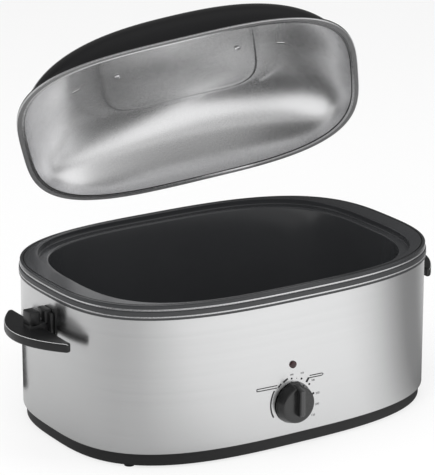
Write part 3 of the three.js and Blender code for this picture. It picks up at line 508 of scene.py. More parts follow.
# Outer shell. A hole is (x, z, radius, side), where side -1 is the front
shellSpec = {"inset": 1.7, "sheet": 0.8, "bottom": 17.0, "top": 204.0, "hem": 9.7, "hemRadius": 1.4,
             "foldRadius": 0.5, "rows": 16, "screwHeights": (145.0, 168.0), "screwHole": 2.3, "cut": 6.0,
             "holes": {"control": (-15.0, 60.0, 5.3, -1), "lamp": (-16.0, 112.0, 3.9, -1),
                       "gland": (40.0, 42.0, 6.8, 1)}}
endX = outline["shape"][0] - shellSpec["inset"]


# The shell's outside over x, on the back
def wallY(x):
    a, b, n = levelOf(outline["shape"], shellSpec["inset"], 0)[:3]
    return b * (1 - np.abs(np.asarray(x, float) / a) ** n) ** (1 / n)


# Where a hole lies on the shell's outside, and the way out of the wall there
def wallSpot(hole):
    x, z, radius, side = shellSpec["holes"][hole]
    return (x, side * float(wallY(x)), z), (0, side, 0)


def buildShell():
    inset, bottom, top, hem, cut = pick(shellSpec, "inset bottom top hem cut")
    inner, fold = inset + shellSpec["sheet"], bottom + shellSpec["sheet"]
    corners = [bodyLevel(inset, bottom, shellSpec["hemRadius"])]
    corners += [bodyLevel(inset, float(z)) for z in np.linspace(bottom, top, shellSpec["rows"] + 1)[1:]]
    corners += [bodyLevel(inner, top), bodyLevel(inner, fold, shellSpec["foldRadius"]),
                bodyLevel(hem, fold), bodyLevel(hem, bottom)]
    piece = makePiece("outerShell", ringShape(softLevels(corners), outline["segments"]), "shell_steel",
                      ("outer_shell",))
    cutters = [pin(hole[2], -cut, cut, *wallSpot(name), 32) for name, hole in shellSpec["holes"].items()]
    for side in (-1, 1):
        for z in shellSpec["screwHeights"]:
            cutters.append(pin(shellSpec["screwHole"], -cut, cut, (side * endX, 0, z), (side, 0, 0)))
    cutOut(piece, cutters)


buildShell()
print("outer shell made")

# Rim frame over the shell's top edge, with a bead of bright metal that paints a highlight line
rimSpec = {"bottom": 197.0, "bead": 201.4, "beadHalf": 0.9, "beadProud": 0.4, "top": 208.0, "edge": 1.3,
           "inner": 8.0, "deck": 2.6, "skirt": 1.1}


def buildRim():
    bottom, bead, half, top, inner, skirt = pick(rimSpec, "bottom bead beadHalf top inner skirt")
    deck = top - rimSpec["deck"]
    corners = [
        bodyLevel(0, bottom, 0.35),
        bodyLevel(0, bead - half, 0.2, 1),
        bodyLevel(-rimSpec["beadProud"], bead, 0.4, 1),
        bodyLevel(0, bead + half, 0.2),
        bodyLevel(0, top, rimSpec["edge"]),
        bodyLevel(inner, top, 0.6),
        bodyLevel(inner, deck), bodyLevel(skirt, deck), bodyLevel(skirt, bottom),
    ]
    makePiece("rimFrame", ringShape(softLevels(corners), outline["segments"]), "frame_grey",
              ("rim_frame",), ("frame_grey", "paintedHighlightEdge"))


buildRim()

# Base ring: an outer wall, a tongue inside the shell and a shelf under the bottom plate
baseSpec = {"inset": 5.4, "lean": 0.4, "top": 16.7, "tongue": (10.0, 13.0), "tongueTop": 26.0, "wall": 8.4,
            "roof": 13.7, "shelf": (22.0, 34.0), "shelfBottom": 1.5, "shelfTop": 4.0,
            "footInset": 13.5, "footHeading": 39.0, "footHole": 3.0, "screwInset": 28.0, "screwHole": 4.5,
            "cut": (-4.0, 8.0), "boss": (1.8, 4.2), "bossHeights": (2.75, 9.0)}
footTurn = baseSpec["footHeading"]
footSpots = [outlinePoint(baseSpec["footInset"], turn)
             for turn in (footTurn, 180 - footTurn, 180 + footTurn, -footTurn)]


def buildBase():
    inset, top, high, wall, roof, low, shelf = pick(
        baseSpec, "inset top tongueTop wall roof shelfBottom shelfTop")
    (outer, inner), (near, far) = baseSpec["tongue"], baseSpec["shelf"]
    corners = [
        bodyLevel(inset + baseSpec["lean"], 0, 2.2), bodyLevel(inset, top, 1.0),
        bodyLevel(outer, top), bodyLevel(outer, high), bodyLevel(inner, high), bodyLevel(inner, roof),
        bodyLevel(wall, roof), bodyLevel(wall, shelf), bodyLevel(far, shelf), bodyLevel(far, low),
        bodyLevel(near, low), bodyLevel(near, 0),
    ]
    ring = makePiece("baseRing", ringShape(softLevels(corners), outline["segments"]), "base_black",
                     ("base_ring",))
    screwSpots = [outlinePoint(baseSpec["screwInset"], turn) for turn in (0, 90, 180, 270)]
    holes = [(baseSpec["footHole"], spot) for spot in footSpots]
    holes += [(baseSpec["screwHole"], spot) for spot in screwSpots]
    cutOut(ring, [pin(radius, *baseSpec["cut"], (*spot, 0)) for radius, spot in holes])
    (bore, boss), (low, high) = pick(baseSpec, "boss bossHeights")
    profile = softProfile([(bore, low), (boss, low), (boss, high, 0.5), (bore, high, 0.3), (bore, low)])
    makePiece("screwBosses", joined([turned(profile, 32, (x, y, 0)) for x, y in screwSpots]),
              "base_black")


buildBase()

# Rubber feet, with a barb that holds them in the base ring
footSpec = {"radius": 7.0, "proud": 3.0, "edge": 1.0, "recess": 4.6, "recessDepth": 0.6, "gap": 0.3,
            "neck": 2.7, "neckTop": 4.3, "barb": 4.0, "tip": 1.7, "tipTop": 6.0, "soft": 0.3}


def buildFeet():
    radius, recess, gap, soft = pick(footSpec, "radius recess gap soft")
    neck, neckTop, barb, tip, tipTop = pick(footSpec, "neck neckTop barb tip tipTop")
    sole = -footSpec["proud"]
    inside = sole + footSpec["recessDepth"]
    profile = softProfile([
        (0, inside), (recess - 0.8, inside, 0.2), (recess, sole, 0.2), (radius - 0.2, sole, footSpec["edge"]),
        (radius, -gap, soft), (neck, -gap), (neck, neckTop), (barb, neckTop, soft), (tip, tipTop, soft),
        (0, tipTop)])
    for place, (x, y) in zip(("back_right", "back_left", "front_left", "front_right"), footSpots):
        makePiece("rubberFoot" + place.title().replace("_", ""), turned(profile, 48, (x, y, 0)),
                  "foot_rubber", ("foot_" + place,))


buildFeet()
print("rim frame, base ring and feet made")

# Insert pan; the shapes of its step, mouth and foot are (half length, half width, power)
panSpec = {"sheet": 1.2, "lip": 1.2, "lipBottom": 208.3, "top": 216.0, "ledge": 207.7, "bead": 209.8,
           "beadHalf": 0.8, "beadProud": 0.5, "beadEnd": 1.2, "flat": 2.2, "crease": (3.4, 5.1),
           "creaseDepth": 0.5, "step": (237.6, 178.7, 3.29), "mouth": (226.0, 167.0, 3.2),
           "foot": (210.0, 151.0, 3.2), "wallFoot": 66.0, "floor": 46.0, "corner": 20.0, "dish": 1.0,
           "segments": 256}


def panCorner(grow, floor, count=9):
    made = []
    for turn in (math.pi / 2 * i / count for i in range(1, count + 1)):
        inset = panSpec["corner"] * (1 - math.cos(turn))
        made.append(levelOf(panSpec["foot"], inset - grow,
                            panSpec["wallFoot"] - (panSpec["wallFoot"] - floor) * math.sin(turn)))
    return made


def buildPan():
    sheet, lip, lipBottom, top, ledge = pick(panSpec, "sheet lip lipBottom top ledge")
    step, mouth, foot, wallFoot, floor = pick(panSpec, "step mouth foot wallFoot floor")
    bead, half, proud, dip = pick(panSpec, "bead beadHalf beadProud creaseDepth")
    near, far = (lip + offset for offset in panSpec["crease"])
    inside = [
        bodyLevel(lip, lipBottom, 0.2),
        # the bead has band 1, bright metal that paints a highlight line
        bodyLevel(lip, bead - half, 0.2, 1), bodyLevel(lip - proud, bead, 0.5, 1),
        bodyLevel(lip, bead + half, 0.2, 1), bodyLevel(lip, bead + panSpec["beadEnd"]),
        bodyLevel(lip, top, 1.6), bodyLevel(lip + panSpec["flat"], top),
        # the crease has band 2, near black that paints the shade in it
        bodyLevel(near, top, 0.2, 2), bodyLevel(near + dip, top - dip, 0.2, 2),
        bodyLevel(far - dip, top - dip, 0.2, 2), bodyLevel(far, top),
        levelOf(step, 0, top, 1.7), levelOf(step, 0, ledge, 1.6), levelOf(mouth, 0, ledge, 2.0),
        levelOf(foot, 0, wallFoot), *panCorner(0, floor),
    ]
    outside = [
        *reversed(panCorner(sheet, floor - sheet)), levelOf(foot, -sheet, wallFoot),
        levelOf(mouth, -sheet, ledge - sheet, 1.2), levelOf(step, -sheet, ledge - sheet, 0.8),
        levelOf(step, -sheet, top - sheet, 0.8),
        bodyLevel(lip + sheet, top - sheet, 1.2), bodyLevel(lip + sheet, lipBottom, 0.2),
    ]
    middle = floor + panSpec["dish"]
    levels = softLevels(inside, False) + [middle, middle - sheet] + softLevels(outside, False)
    makePiece("insertPan", ringShape(levels, panSpec["segments"]), "pan_enamel", ("insert_pan",),
              ("pan_enamel", "paintedHighlightEdge", "creasePaintedShade"), body="pan")


buildPan()
print("insert pan made")

# Side handles: a crescent grip, a slotted block and a pad on the wall
handleSpec = {"low": 146.0, "height": 12.5, "halfLength": 78.0, "reach": 51.7, "endReach": 16.0,
              "inner": 10.0, "edge": 2.6, "bevel": (2, 3), "stations": 72, "gap": 0.3,
              "blockTop": 182.0, "notchFloor": 166.0, "plate": 10.0,
              "prong": (16.0, 31.0), "blockHalf": 10.0, "overlap": 4.0, "sink": 2.0,
              "padHalf": 17.0, "padDepth": 5.3, "pad": (134.0, 178.0),
              "blockRound": 1.2, "prongRound": 1.8, "padRound": 1.6}


def roundedSection(width, height, radius, steps=5):
    points = []
    for sx, sy, first in ((1, 1, 0), (-1, 1, 90), (-1, -1, 180), (1, -1, 270)):
        for k in range(steps + 1):
            angle = math.radians(first + 90 * k / steps)
            points.append((sx * (width / 2 - radius) + radius * math.cos(angle),
                           sy * (height / 2 - radius) + radius * math.sin(angle)))
    return np.array(points)


# A face between the two bevel corners of the section has band 1, a pale grey that paints a highlight on the
# grip's rounded edge
def buildGrip():
    low, height, half, far, near = pick(handleSpec, "low height halfLength reach endReach")
    inner, edge, stations, bevel = pick(handleSpec, "inner edge stations bevel")
    turns = [math.pi / 2 * k / 5 for k in range(5)]
    ends = [(half - edge + edge * math.sin(turn), edge * (1 - math.cos(turn))) for turn in turns]
    middle = [(-half + 2 * half * i / stations, 0.0) for i in range(stations + 1)]
    middle = [spot for spot in middle if abs(spot[0]) < half - edge - 0.1]
    rings = []
    for y, shrink in [(-y, s) for y, s in reversed(ends)] + middle + ends:
        reach = far - (far - near) * (y / half) ** 2
        depth = reach - inner
        flat = roundedSection(depth, height, edge) * (1 - 2 * shrink / np.array([depth, height]))
        rings.append(np.stack([(reach + inner) / 2 + flat[:, 0], np.full(len(flat), y),
                               low + height / 2 + flat[:, 1]], 1))
    points, faces, owners = loftCapped(rings)
    return points, faces, [int(all(corner % len(rings[0]) in bevel for corner in face)) for face in faces]


def buildHandle(side, name, stands):
    gap, low, half, top, floor, overlap = pick(handleSpec, "gap low blockHalf blockTop notchFloor overlap")
    near, far = handleSpec["prong"]
    (padLow, padHigh), padHalf, padDepth = pick(handleSpec, "pad padHalf padDepth")
    blockRound, prongRound, padRound = pick(handleSpec, "blockRound prongRound padRound")
    points, faces, bands = joined([
        buildGrip(),
        roundedBox((gap, -half, low + handleSpec["sink"]), (far, half, floor), blockRound),
        roundedBox((gap, -half, floor - overlap), (handleSpec["plate"], half, top), blockRound),
        roundedBox((near, -half, floor - overlap), (far, half, top), prongRound),
        roundedBox((gap, -padHalf, padLow), (padDepth, padHalf, padHigh), padRound),
    ])
    points = points * np.array([side, 1, 1]) + np.array([side * endX, 0, 0])
    makePiece(name, (points, faces, bands), "handle_black", stands, ("handle_black", "handlePaintedHighlight"))


buildHandle(1, "sideHandleRight", ("handle_right",))
buildHandle(-1, "sideHandleLeft", ("handle_left",))
print("side handles made")

# Control knob: a round body with a blunt tip, and a blade whose nose bends down to the tip
knobSpec = {"standoff": 1.4, "radius": 27.6, "shoulder": (23.8, 13.6, 1.4), "face": (21.6, 14.6, 1.0),
            "bore": 3.3, "hollow": 20.0, "hollowDepth": 6.5, "tipHeading": 28.0, "tipCut": 0.995,
            "bladeHalf": 4.2, "bladeLow": -14.0, "bladeHigh": 21.8, "bladeFront": 24.0, "bladeEnd": 4.0,
            "bladeRound": 3.2, "roundShares": (0.8, 0.45), "endDrop": 6.0, "endNarrow": 2.6, "flare": 0.4,
            "bladeSink": 1.0, "nose": 26.8, "noseDepth": 5.5, "noseNarrow": 0.3, "noseBend": 0.9}


# How far the round body reaches out towards the tip, as a share of its radius
def tearShare(x, y):
    turn = np.abs(np.arctan2(x, y))
    lead = math.radians(knobSpec["tipHeading"])
    share = 1 / np.cos(np.maximum(0, lead - turn))
    return np.where(turn < lead, np.minimum(share, knobSpec["tipCut"] / np.cos(np.minimum(turn, lead))), 1.0)


def buildSkirt():
    lift, hollow, bore, face = pick(knobSpec, "standoff hollow bore face")
    base = lift + knobSpec["hollowDepth"]
    spots, faces = turned(softProfile([
        (bore, base), (hollow, base, 0.8), (hollow, lift), (knobSpec["radius"], lift, 0.5),
        knobSpec["shoulder"], face, (bore, face[1]), (bore, base)]), 128)
    x, y, z = spots.T
    grow = np.where(np.hypot(x, y) > hollow + 0.1, tearShare(x, y), 1.0)
    return np.stack([x * grow, -z, y * grow], 1), faces


# Half width and depth of the blade at a height
def bladeSize(z):
    width, front, high, end = pick(knobSpec, "bladeHalf bladeFront bladeHigh bladeEnd")
    drop = (knobSpec["bladeLow"] + end - z) / end
    if drop > 0:
        rounded = 1 - math.sqrt(max(0.0, 1 - drop * drop))
        return width - knobSpec["endNarrow"] * rounded, front - knobSpec["endDrop"] * rounded
    if z > high:
        share = (z - high) / (knobSpec["nose"] - high)
        return (width * (1 - knobSpec["noseNarrow"] * share),
                front - (front - knobSpec["noseDepth"]) * share ** knobSpec["noseBend"])
    return width, front


# The blade's front, below the nose, has band 1, a lighter black that paints a highlight on it
def buildBlade():
    root = knobSpec["standoff"] + knobSpec["hollowDepth"] - knobSpec["bladeSink"]
    low, high, end, (across, deep) = pick(knobSpec, "bladeLow bladeHigh bladeEnd roundShares")
    heights = np.concatenate([low + end * (1 - np.cos(np.linspace(0, math.pi / 2, 8))),
                              np.linspace(low + end + 1, high, 22),
                              np.linspace(high, knobSpec["nose"], 10)[1:]])
    rings = []
    for z in heights:
        width, front = bladeSize(z)
        radius = min(knobSpec["bladeRound"], width * across, (front - root) * deep)
        half = [(-width - knobSpec["flare"], root), (-width, front - radius)]
        for turn in (math.pi - math.pi / 2 * k / 5 for k in range(1, 6)):
            half.append((-width + radius + radius * math.cos(turn), front - radius + radius * math.sin(turn)))
        rings.append(np.array([(x, -d, z) for x, d in half + [(-x, d) for x, d in reversed(half)]]))
    points, faces, owners = loftCapped(rings)
    count = len(rings[0])
    frontCorners = range(4, count - 2)
    bands = [int(heights[owner] < high and all(corner % count in frontCorners for corner in face))
             for face, owner in zip(faces, owners)]
    return points, faces, bands


def buildKnob():
    points, faces, bands = joined([buildSkirt(), buildBlade()])
    makePiece("controlKnob", (points + np.array(wallSpot("control")[0]), faces, bands), "knob_black",
              ("knob",), ("knob_black", "knobPaintedHighlight"), 40.0, "control")


buildKnob()

# Indicator lens
lampSpec = {"radius": 4.9, "gap": 0.3, "dome": 2.6, "collar": 1.0, "stem": 3.6, "stemLength": 8.0,
            "domeSteps": 8}


def buildLens():
    radius, gap, collar, stem, length, steps = pick(lampSpec, "radius gap collar stem stemLength domeSteps")
    profile = [(0, -length), (stem, -length), (stem, gap), (radius, gap), (radius, gap + collar)]
    for step in range(1, steps + 1):
        turn = math.pi / 2 * step / steps
        profile.append((radius * math.cos(turn), gap + collar + (lampSpec["dome"] - collar) * math.sin(turn)))
    makePiece("indicatorLens", turned(profile, 64, *wallSpot("lamp")), "lens_red", ("indicator_lens",))


buildLens()

# Cord gland in the back
glandSpec = {"bore": 3.8, "radius": 9.0, "head": 3.0, "gap": 0.3, "stem": 6.5, "inside": 9.0}


def buildGland():
    bore, radius, head, gap, stem, inside = pick(glandSpec, "bore radius head gap stem inside")
    profile = softProfile([(bore, head, 0.8), (radius, head, 1.1), (radius, gap, 0.3), (stem, gap),
                           (stem, -inside, 0.5), (bore, -inside, 0.4)], True)
    makePiece("cordGland", turned(profile, 64, *wallSpot("gland")), "base_black", ("cord_gland",))


buildGland()
print("knob, lens and gland made")

# Lid, modelled in its closed frame and then raised
lidSpec = {"shape": (236.1, 177.2, 3.29), "topPower": 2.9, "sheet": 1.2,
           "height": 94.6, "spread": 139.9, "spreadShare": 0.7, "wall": 9.0, "archRadius": 920.0,
           "beadWidth": 4.0, "beadHeight": 4.5, "start": 3.0, "recess": (112.0, 92.0, 4.5), "slope": 5.0,
           "depth": 2.5, "slitX": 145.4, "slit": (11.0, 3.0), "screwX": 85.5, "screwHole": 2.3,
           "slitRound": 1.2, "cut": (40.0, 140.0), "segments": 256, "domeSteps": 30, "domeShare": 7 / 9,
           "roofSteps": 6, "recessSteps": 8, "recessLead": 3.0,
           "floorShares": (0.96, 0.9, 0.82, 0.72, 0.6, 0.46, 0.3, 0.14)}
raiseSpec = {"pole": (72.0, 245.45, 168.3), "heading": 164.3, "swing": 50.1, "turn": -31.5, "stop": 216.6}


def raisedMatrix():
    angle = math.radians(raiseSpec["heading"])
    axis = Vector((math.cos(angle), math.sin(angle), 0))
    pole = Vector(raiseSpec["pole"])
    pivot = Vector((lidSpec["screwX"], 0, raiseSpec["stop"]))
    return (Matrix.Translation(pole) @ Matrix.Rotation(math.radians(raiseSpec["swing"]), 4, axis)
            @ Matrix.Translation(pivot - pole) @ Matrix.Rotation(math.radians(raiseSpec["turn"]), 4, "Z")
            @ Matrix.Translation((-lidSpec["screwX"], 0, 0)))


raised = np.array(raisedMatrix())


def lifted(shape):
    return (np.asarray(shape[0], float) @ raised[:3, :3].T + raised[:3, 3], *shape[1:])


def domeInset(t):
    return lidSpec["wall"] + lidSpec["spread"] * (1 - np.cos(math.pi / 2 * t) ** lidSpec["spreadShare"])


# Height of the dome at a share of the way up; the roof arches down towards the ends
def domeHeight(x, t):
    z = lidSpec["height"] * np.sin(math.pi / 2 * t)
    return z * (1 - x * x / (2 * lidSpec["archRadius"] * lidSpec["height"]))


def domePower(t):
    power = lidSpec["shape"][2]
    return power + (lidSpec["topPower"] - power) * t


# Height of the dome over points, found by halving
def domeOver(x, y, sheet):
    x, y = np.abs(np.asarray(x, float)), np.abs(np.asarray(y, float))
    low, high = np.zeros_like(x), np.ones_like(x)
    for step in range(34):
        t = (low + high) / 2
        a, b = (np.maximum(half - domeInset(t) - sheet, 0.01) for half in lidSpec["shape"][:2])
        inside = (x / a) ** domePower(t) + (y / b) ** domePower(t) < 1
        low, high = np.where(inside, t, low), np.where(inside, high, t)
    return domeHeight(x, low) - sheet


# Height of the recess floor on the lid's long axis
def recessTop(x):
    return float(domeOver(x, 0.0, 0.0)) - lidSpec["depth"]


def lidRing(a, b, n, height):
    ring = ringOf((a, b, n, 0), lidSpec["segments"])
    ring[:, 2] = height(ring[:, 0], ring[:, 1])
    return ring


# Rings from the wall's foot to the middle of the roof, for one face of the sheet
def domeRings(sheet):
    length, width = lidSpec["shape"][:2]
    steps, last, slope, depth = pick(lidSpec, "domeSteps domeShare slope depth")
    rings = []
    for t in (last * i / steps for i in range(1, steps + 1)):
        rise = math.sin(math.pi / 2 * t)
        inset = domeInset(t) + sheet * math.sqrt(1 - rise)
        rings.append(lidRing(length - inset, width - inset, domePower(t),
                             lambda x, y: domeHeight(x, t) - sheet * rise))
    a, b, n = lidSpec["recess"]
    inset = float(domeInset(last)) + sheet
    roofSteps, recessSteps, lead = pick(lidSpec, "roofSteps recessSteps recessLead")
    start, end = np.array([length - inset, width - inset, domePower(last)]), np.array([a + lead, b + lead, n])
    for share in (i / roofSteps for i in range(1, roofSteps)):
        rings.append(lidRing(*(start + (end - start) * share), lambda x, y: domeOver(x, y, sheet)))
    for share in (i / recessSteps for i in range(recessSteps + 1)):
        sink = depth * (3 * share ** 2 - 2 * share ** 3)
        rings.append(lidRing(a - slope * share, b - slope * share, n,
                             lambda x, y: domeOver(x, y, sheet) - sink))
    for share in lidSpec["floorShares"]:
        rings.append(lidRing((a - slope) * share, (b - slope) * share, 2 + (n - 2) * share,
                             lambda x, y: domeOver(x, y, sheet) - depth))
    return rings + [ringOf(float(domeOver(0.0, 0.0, sheet)) - depth, 1)]


def lidLevel(*values):
    return levelOf(lidSpec["shape"], *values)


def buildLid():
    sheet, wall, start, top, bead = pick(lidSpec, "sheet wall start beadHeight beadWidth")
    rim = softLevels([
        # band 4 at the flange's inner corner is near black that paints the shade in the crease
        lidLevel(wall + sheet, start + 1.5, 0, 1), lidLevel(wall + sheet, 1.4, 0.5, 4),
        # band 2 is a grey that paints the dark pan's reflection in the flange
        lidLevel(wall + 0.2, 0.7, 0.3, 3), lidLevel(5.8, 0.15, 0.4, 2),
        # band 3, here and on the level above, is bright metal that paints highlight lines round the flange
        lidLevel(1.0, 0, 0.2, 3), lidLevel(0, 0.4, 0.8, 3),
        lidLevel(0, 1.8), lidLevel(0, top, 1.4), lidLevel(bead, top, 1.4), lidLevel(bead, sheet, 0.8),
        lidLevel(wall - 0.4, sheet, 1.4), lidLevel(wall, start + 0.6),
    ], False)
    inner, outer = domeRings(sheet)[::-1], domeRings(0.0)
    rings = inner + [ringOf(level, lidSpec["segments"]) for level in rim] + outer
    bands = [1] * len(inner) + [level[4] for level in rim] + [0] * len(outer)
    points, faces, owners = loftRings(rings, True)
    piece = makePiece("lidShell", lifted((points, faces, [bands[owner] for owner in owners])), "lid_black",
                      ("lid_shell",), ("lid_black", "lidInside", "lidFlangePaintedReflection", "paintedHighlightEdge", "creasePaintedShade"),
                      body="lid")
    length, width = lidSpec["slit"]
    low, high = lidSpec["cut"]
    cutters = []
    for side in (-1, 1):
        middle = side * lidSpec["slitX"]
        cutters.append(lifted(roundedBox((middle - length / 2, -width / 2, low),
                                         (middle + length / 2, width / 2, high), lidSpec["slitRound"])))
        cutters.append(lifted(pin(lidSpec["screwHole"], low, high, (side * lidSpec["screwX"], 0, 0))))
    cutOut(piece, cutters)


buildLid()
print("lid made")

# Lid handle
bowSpec = {"span": 85.5, "width": 26.0, "endReach": 15.0, "postReach": 14.0, "rise": 34.0, "shoulder": 20.0,
           "gap": 20.0, "seat": 0.3, "edge": 2.5, "soft": 3.7, "screwHole": 2.3,
           "holeLow": 40.0, "holeDepth": 15.0}


def buildBow():
    span, width, shoulderRun, edge = pick(bowSpec, "span width shoulder edge")
    ends, inner = span + bowSpec["endReach"], span - bowSpec["postReach"]
    middle = recessTop(0.0)
    top, under = middle + bowSpec["rise"], middle + bowSpec["gap"]
    shoulder = recessTop(ends) + shoulderRun
    foot, innerFoot = recessTop(span) + bowSpec["seat"], recessTop(inner) + bowSpec["seat"]
    bend = (ends - shoulderRun, (shoulder + top) / 2)
    topLine = np.concatenate([quadratic((ends, shoulder - shoulderRun / 2), (ends, shoulder), bend),
                              quadratic(bend, (span / 2, top), (0, top))[1:]])[::-1]
    underLine = quadratic((inner, innerFoot), (inner - edge, under), (inner - shoulderRun, under))[::-1]
    xs = np.unique(np.concatenate([np.linspace(0, inner - shoulderRun, 9), underLine[:, 0], [inner + 0.01],
                                   np.linspace(inner + 1, ends, 12), topLine[:, 0]]))
    rings = []
    for x in np.concatenate([-xs[::-1][:-1], xs]):
        reach = abs(x)
        high = float(np.interp(reach, topLine[:, 0], topLine[:, 1]))
        low = float(np.interp(reach, underLine[:, 0], underLine[:, 1], left=under))
        if reach > inner:
            low = innerFoot + (foot - innerFoot) * min(1.0, (reach - inner) / (span - inner))
        section = roundedSection(width, high - low, min(bowSpec["soft"], (high - low) * 0.42))
        rings.append(np.stack([np.full(len(section), x), section[:, 0], (high + low) / 2 + section[:, 1]], 1))
    piece = makePiece("lidHandle", lifted(loftCapped(rings)[:2]), "handle_black", ("lid_handle",),
                      sharp=40.0, body="lid")
    hole, low, depth = pick(bowSpec, "screwHole holeLow holeDepth")
    cutOut(piece, [lifted(pin(hole, low, foot + depth, (side * span, 0, 0))) for side in (-1, 1)])


buildBow()

# Lid handle screws with cross recesses
screwSpec = {"head": 4.5, "depth": 2.4, "gap": 0.3, "shank": 2.0, "length": 15.0, "cone": 2.0, "tip": 1.2,
             "crown": (0.62, 0.96), "crownEdge": 0.45, "cross": 0.8, "crossReach": 2.4, "crossDepth": 1.1}


def buildLidScrew(side, name, body, stands):
    place = lidSpec["screwX"]
    head, depth, shank = pick(screwSpec, "head depth shank")
    seat = float(domeOver(place + head, 0.0, lidSpec["sheet"])) - (lidSpec["depth"] + screwSpec["gap"])
    point = recessTop(place) + screwSpec["length"]
    across, down = screwSpec["crown"]
    profile = softProfile([
        (0, seat - depth), (head * across, seat - depth * down, 0.9),
        (head, seat - depth * screwSpec["crownEdge"], 0.6), (head, seat), (shank, seat),
        (shank, point - screwSpec["cone"]), (screwSpec["tip"], point), (0, point)])
    shape = lifted(turned(profile, 48, (side * place, 0, 0)))
    piece = makePiece(name, shape, "screw_steel", stands, body=body)
    wide, reach = screwSpec["cross"] / 2, screwSpec["crossReach"]
    for x, y in ((wide, reach), (reach, wide)):
        cutOut(piece, [lifted(roundedBox((side * place - x, -y, seat - 4),
                                         (side * place + x, y, seat - screwSpec["crossDepth"]), 0.15, 1))])


buildLidScrew(-1, "lidScrewLeft", "lid", ("lid_screw_left",))
buildLidScrew(1, "lidScrewRight", "lid_pivot", ("lid_screw_right",))
print("lid handle and screws made")

# Printed scale round the knob, in places (x, z) on the front wall. A dot is (x, z, radius), a stroke
# its points and width, a number its text, place and size
dialSpec = {
    "lift": 0.14, "sink": 0.1, "numberLift": 0.09, "numberDepth": 0.05, "dotCorners": 20, "gap": 2.0,
    "dots": [(-17.7, 93.0, 1.4), (-9.9, 91.8, 0.6), (-2.4, 89.9, 1.5), (9.8, 80.0, 1.5), (16.2, 66.0, 1.6)],
    "arc": {"centre": (-13.5, 62.5), "radius": 35.8, "first": 148, "last": 209, "width": 2.125},
    "strokes": [
        ([(-30.4, 90.4), (-23.6, 94.2)], 2.5), ([(-38.2, 84.6), (-33.6, 89.0)], 2.6),
        ([(-70.0, 85.2), (-39.5, 84.6)], 1.25), ([(-70.0, 88.26), (-39.5, 88.0)], 1.25),
        ([(-70.0, 84.9), (-70.0, 88.6)], 1.25), ([(5.0, 83.5), (9.0, 89.2)], 3.2),
        ([(9.3, 88.6), (29.0, 88.2)], 1.25), ([(10.2, 91.6), (29.0, 91.2)], 1.25),
        ([(29.0, 88.0), (31.6, 89.7), (29.0, 91.4)], 1.25)],
    "numbers": [("400", -17.5, 98.2, 3.51), ("350", -1.5, 97.4, 3.51), ("300", 15.6, 84.2, 3.51),
                ("250", 22.9, 65.0, 4.05), ("200", 22.4, 50.0, 4.05), ("150", 16.4, 36.0, 4.05)]}


def onWall(x, z, lift):
    return np.stack([x, -wallY(x) - lift, z], -1)


# The front of printed points (x, z), and its back inside the wall
def printFaces(flat):
    return [onWall(*flat.T, lift) for lift in (dialSpec["lift"], -dialSpec["sink"])]


def stroke(path, width):
    path = np.array(path, float)
    step = np.gradient(path, axis=0)
    step /= np.linalg.norm(step, axis=1)[:, None]
    side = np.stack([-step[:, 1], step[:, 0]], 1) * width / 2
    rings = []
    for flat in np.stack([path + side, path - side], 1):
        front, back = printFaces(flat)
        rings.append(np.array([front[0], front[1], back[1], back[0]]))
    return loftCapped(rings)[:2]


def dense(path):
    made = [path[0]]
    for start, end in zip(path, path[1:]):
        count = max(1, int(math.dist(start, end) / dialSpec["gap"]))
        run = np.array(end) - np.array(start)
        made += [tuple(np.array(start) + run * k / count) for k in range(1, count + 1)]
    return made


def arcPath(centre, radius, first, last, count=24):
    turns = np.radians(np.linspace(first, last, count))
    return np.stack([centre[0] + radius * np.cos(turns), centre[1] + radius * np.sin(turns)], 1)


def buildDial():
    arc, corners = dialSpec["arc"], dialSpec["dotCorners"]
    shapes = [loftCapped(printFaces(arcPath((x, z), radius, 0, 360, corners + 1)[:-1]))[:2]
              for x, z, radius in dialSpec["dots"]]
    shapes.append(stroke(arcPath(arc["centre"], arc["radius"], arc["first"], arc["last"]), arc["width"]))
    shapes += [stroke(dense(path), width) for path, width in dialSpec["strokes"]]
    makePiece("dialMarks", joined(shapes), "base_black", looks=("printInk",), sharp=30.0)


def buildNumber(index, text, x, z, size):
    curve = bpy.data.curves.new("number", "FONT")
    curve.body = text
    curve.size = size
    curve.align_x, curve.align_y = "CENTER", "CENTER"
    curve.extrude = dialSpec["numberDepth"]
    curve.resolution_u = 3
    holder = bpy.data.objects.new("number", curve)
    scene.collection.objects.link(holder)
    bpy.context.view_layer.update()
    mesh = bpy.data.meshes.new_from_object(holder.evaluated_get(bpy.context.evaluated_depsgraph_get()))
    points = np.array([list(vertex.co) for vertex in mesh.vertices])
    faces = [tuple(polygon.vertices) for polygon in mesh.polygons]
    bpy.data.objects.remove(holder)
    placed = onWall(points[:, 0] + x, points[:, 1] + z, dialSpec["numberLift"])
    placed[:, 1] -= points[:, 2]
    makePiece("dialNumber" + str(index), (placed, faces), "base_black", looks=("printInk",))


buildDial()
for index, entry in enumerate(dialSpec["numbers"]):
    buildNumber(index + 1, *entry)
print("dial printed")

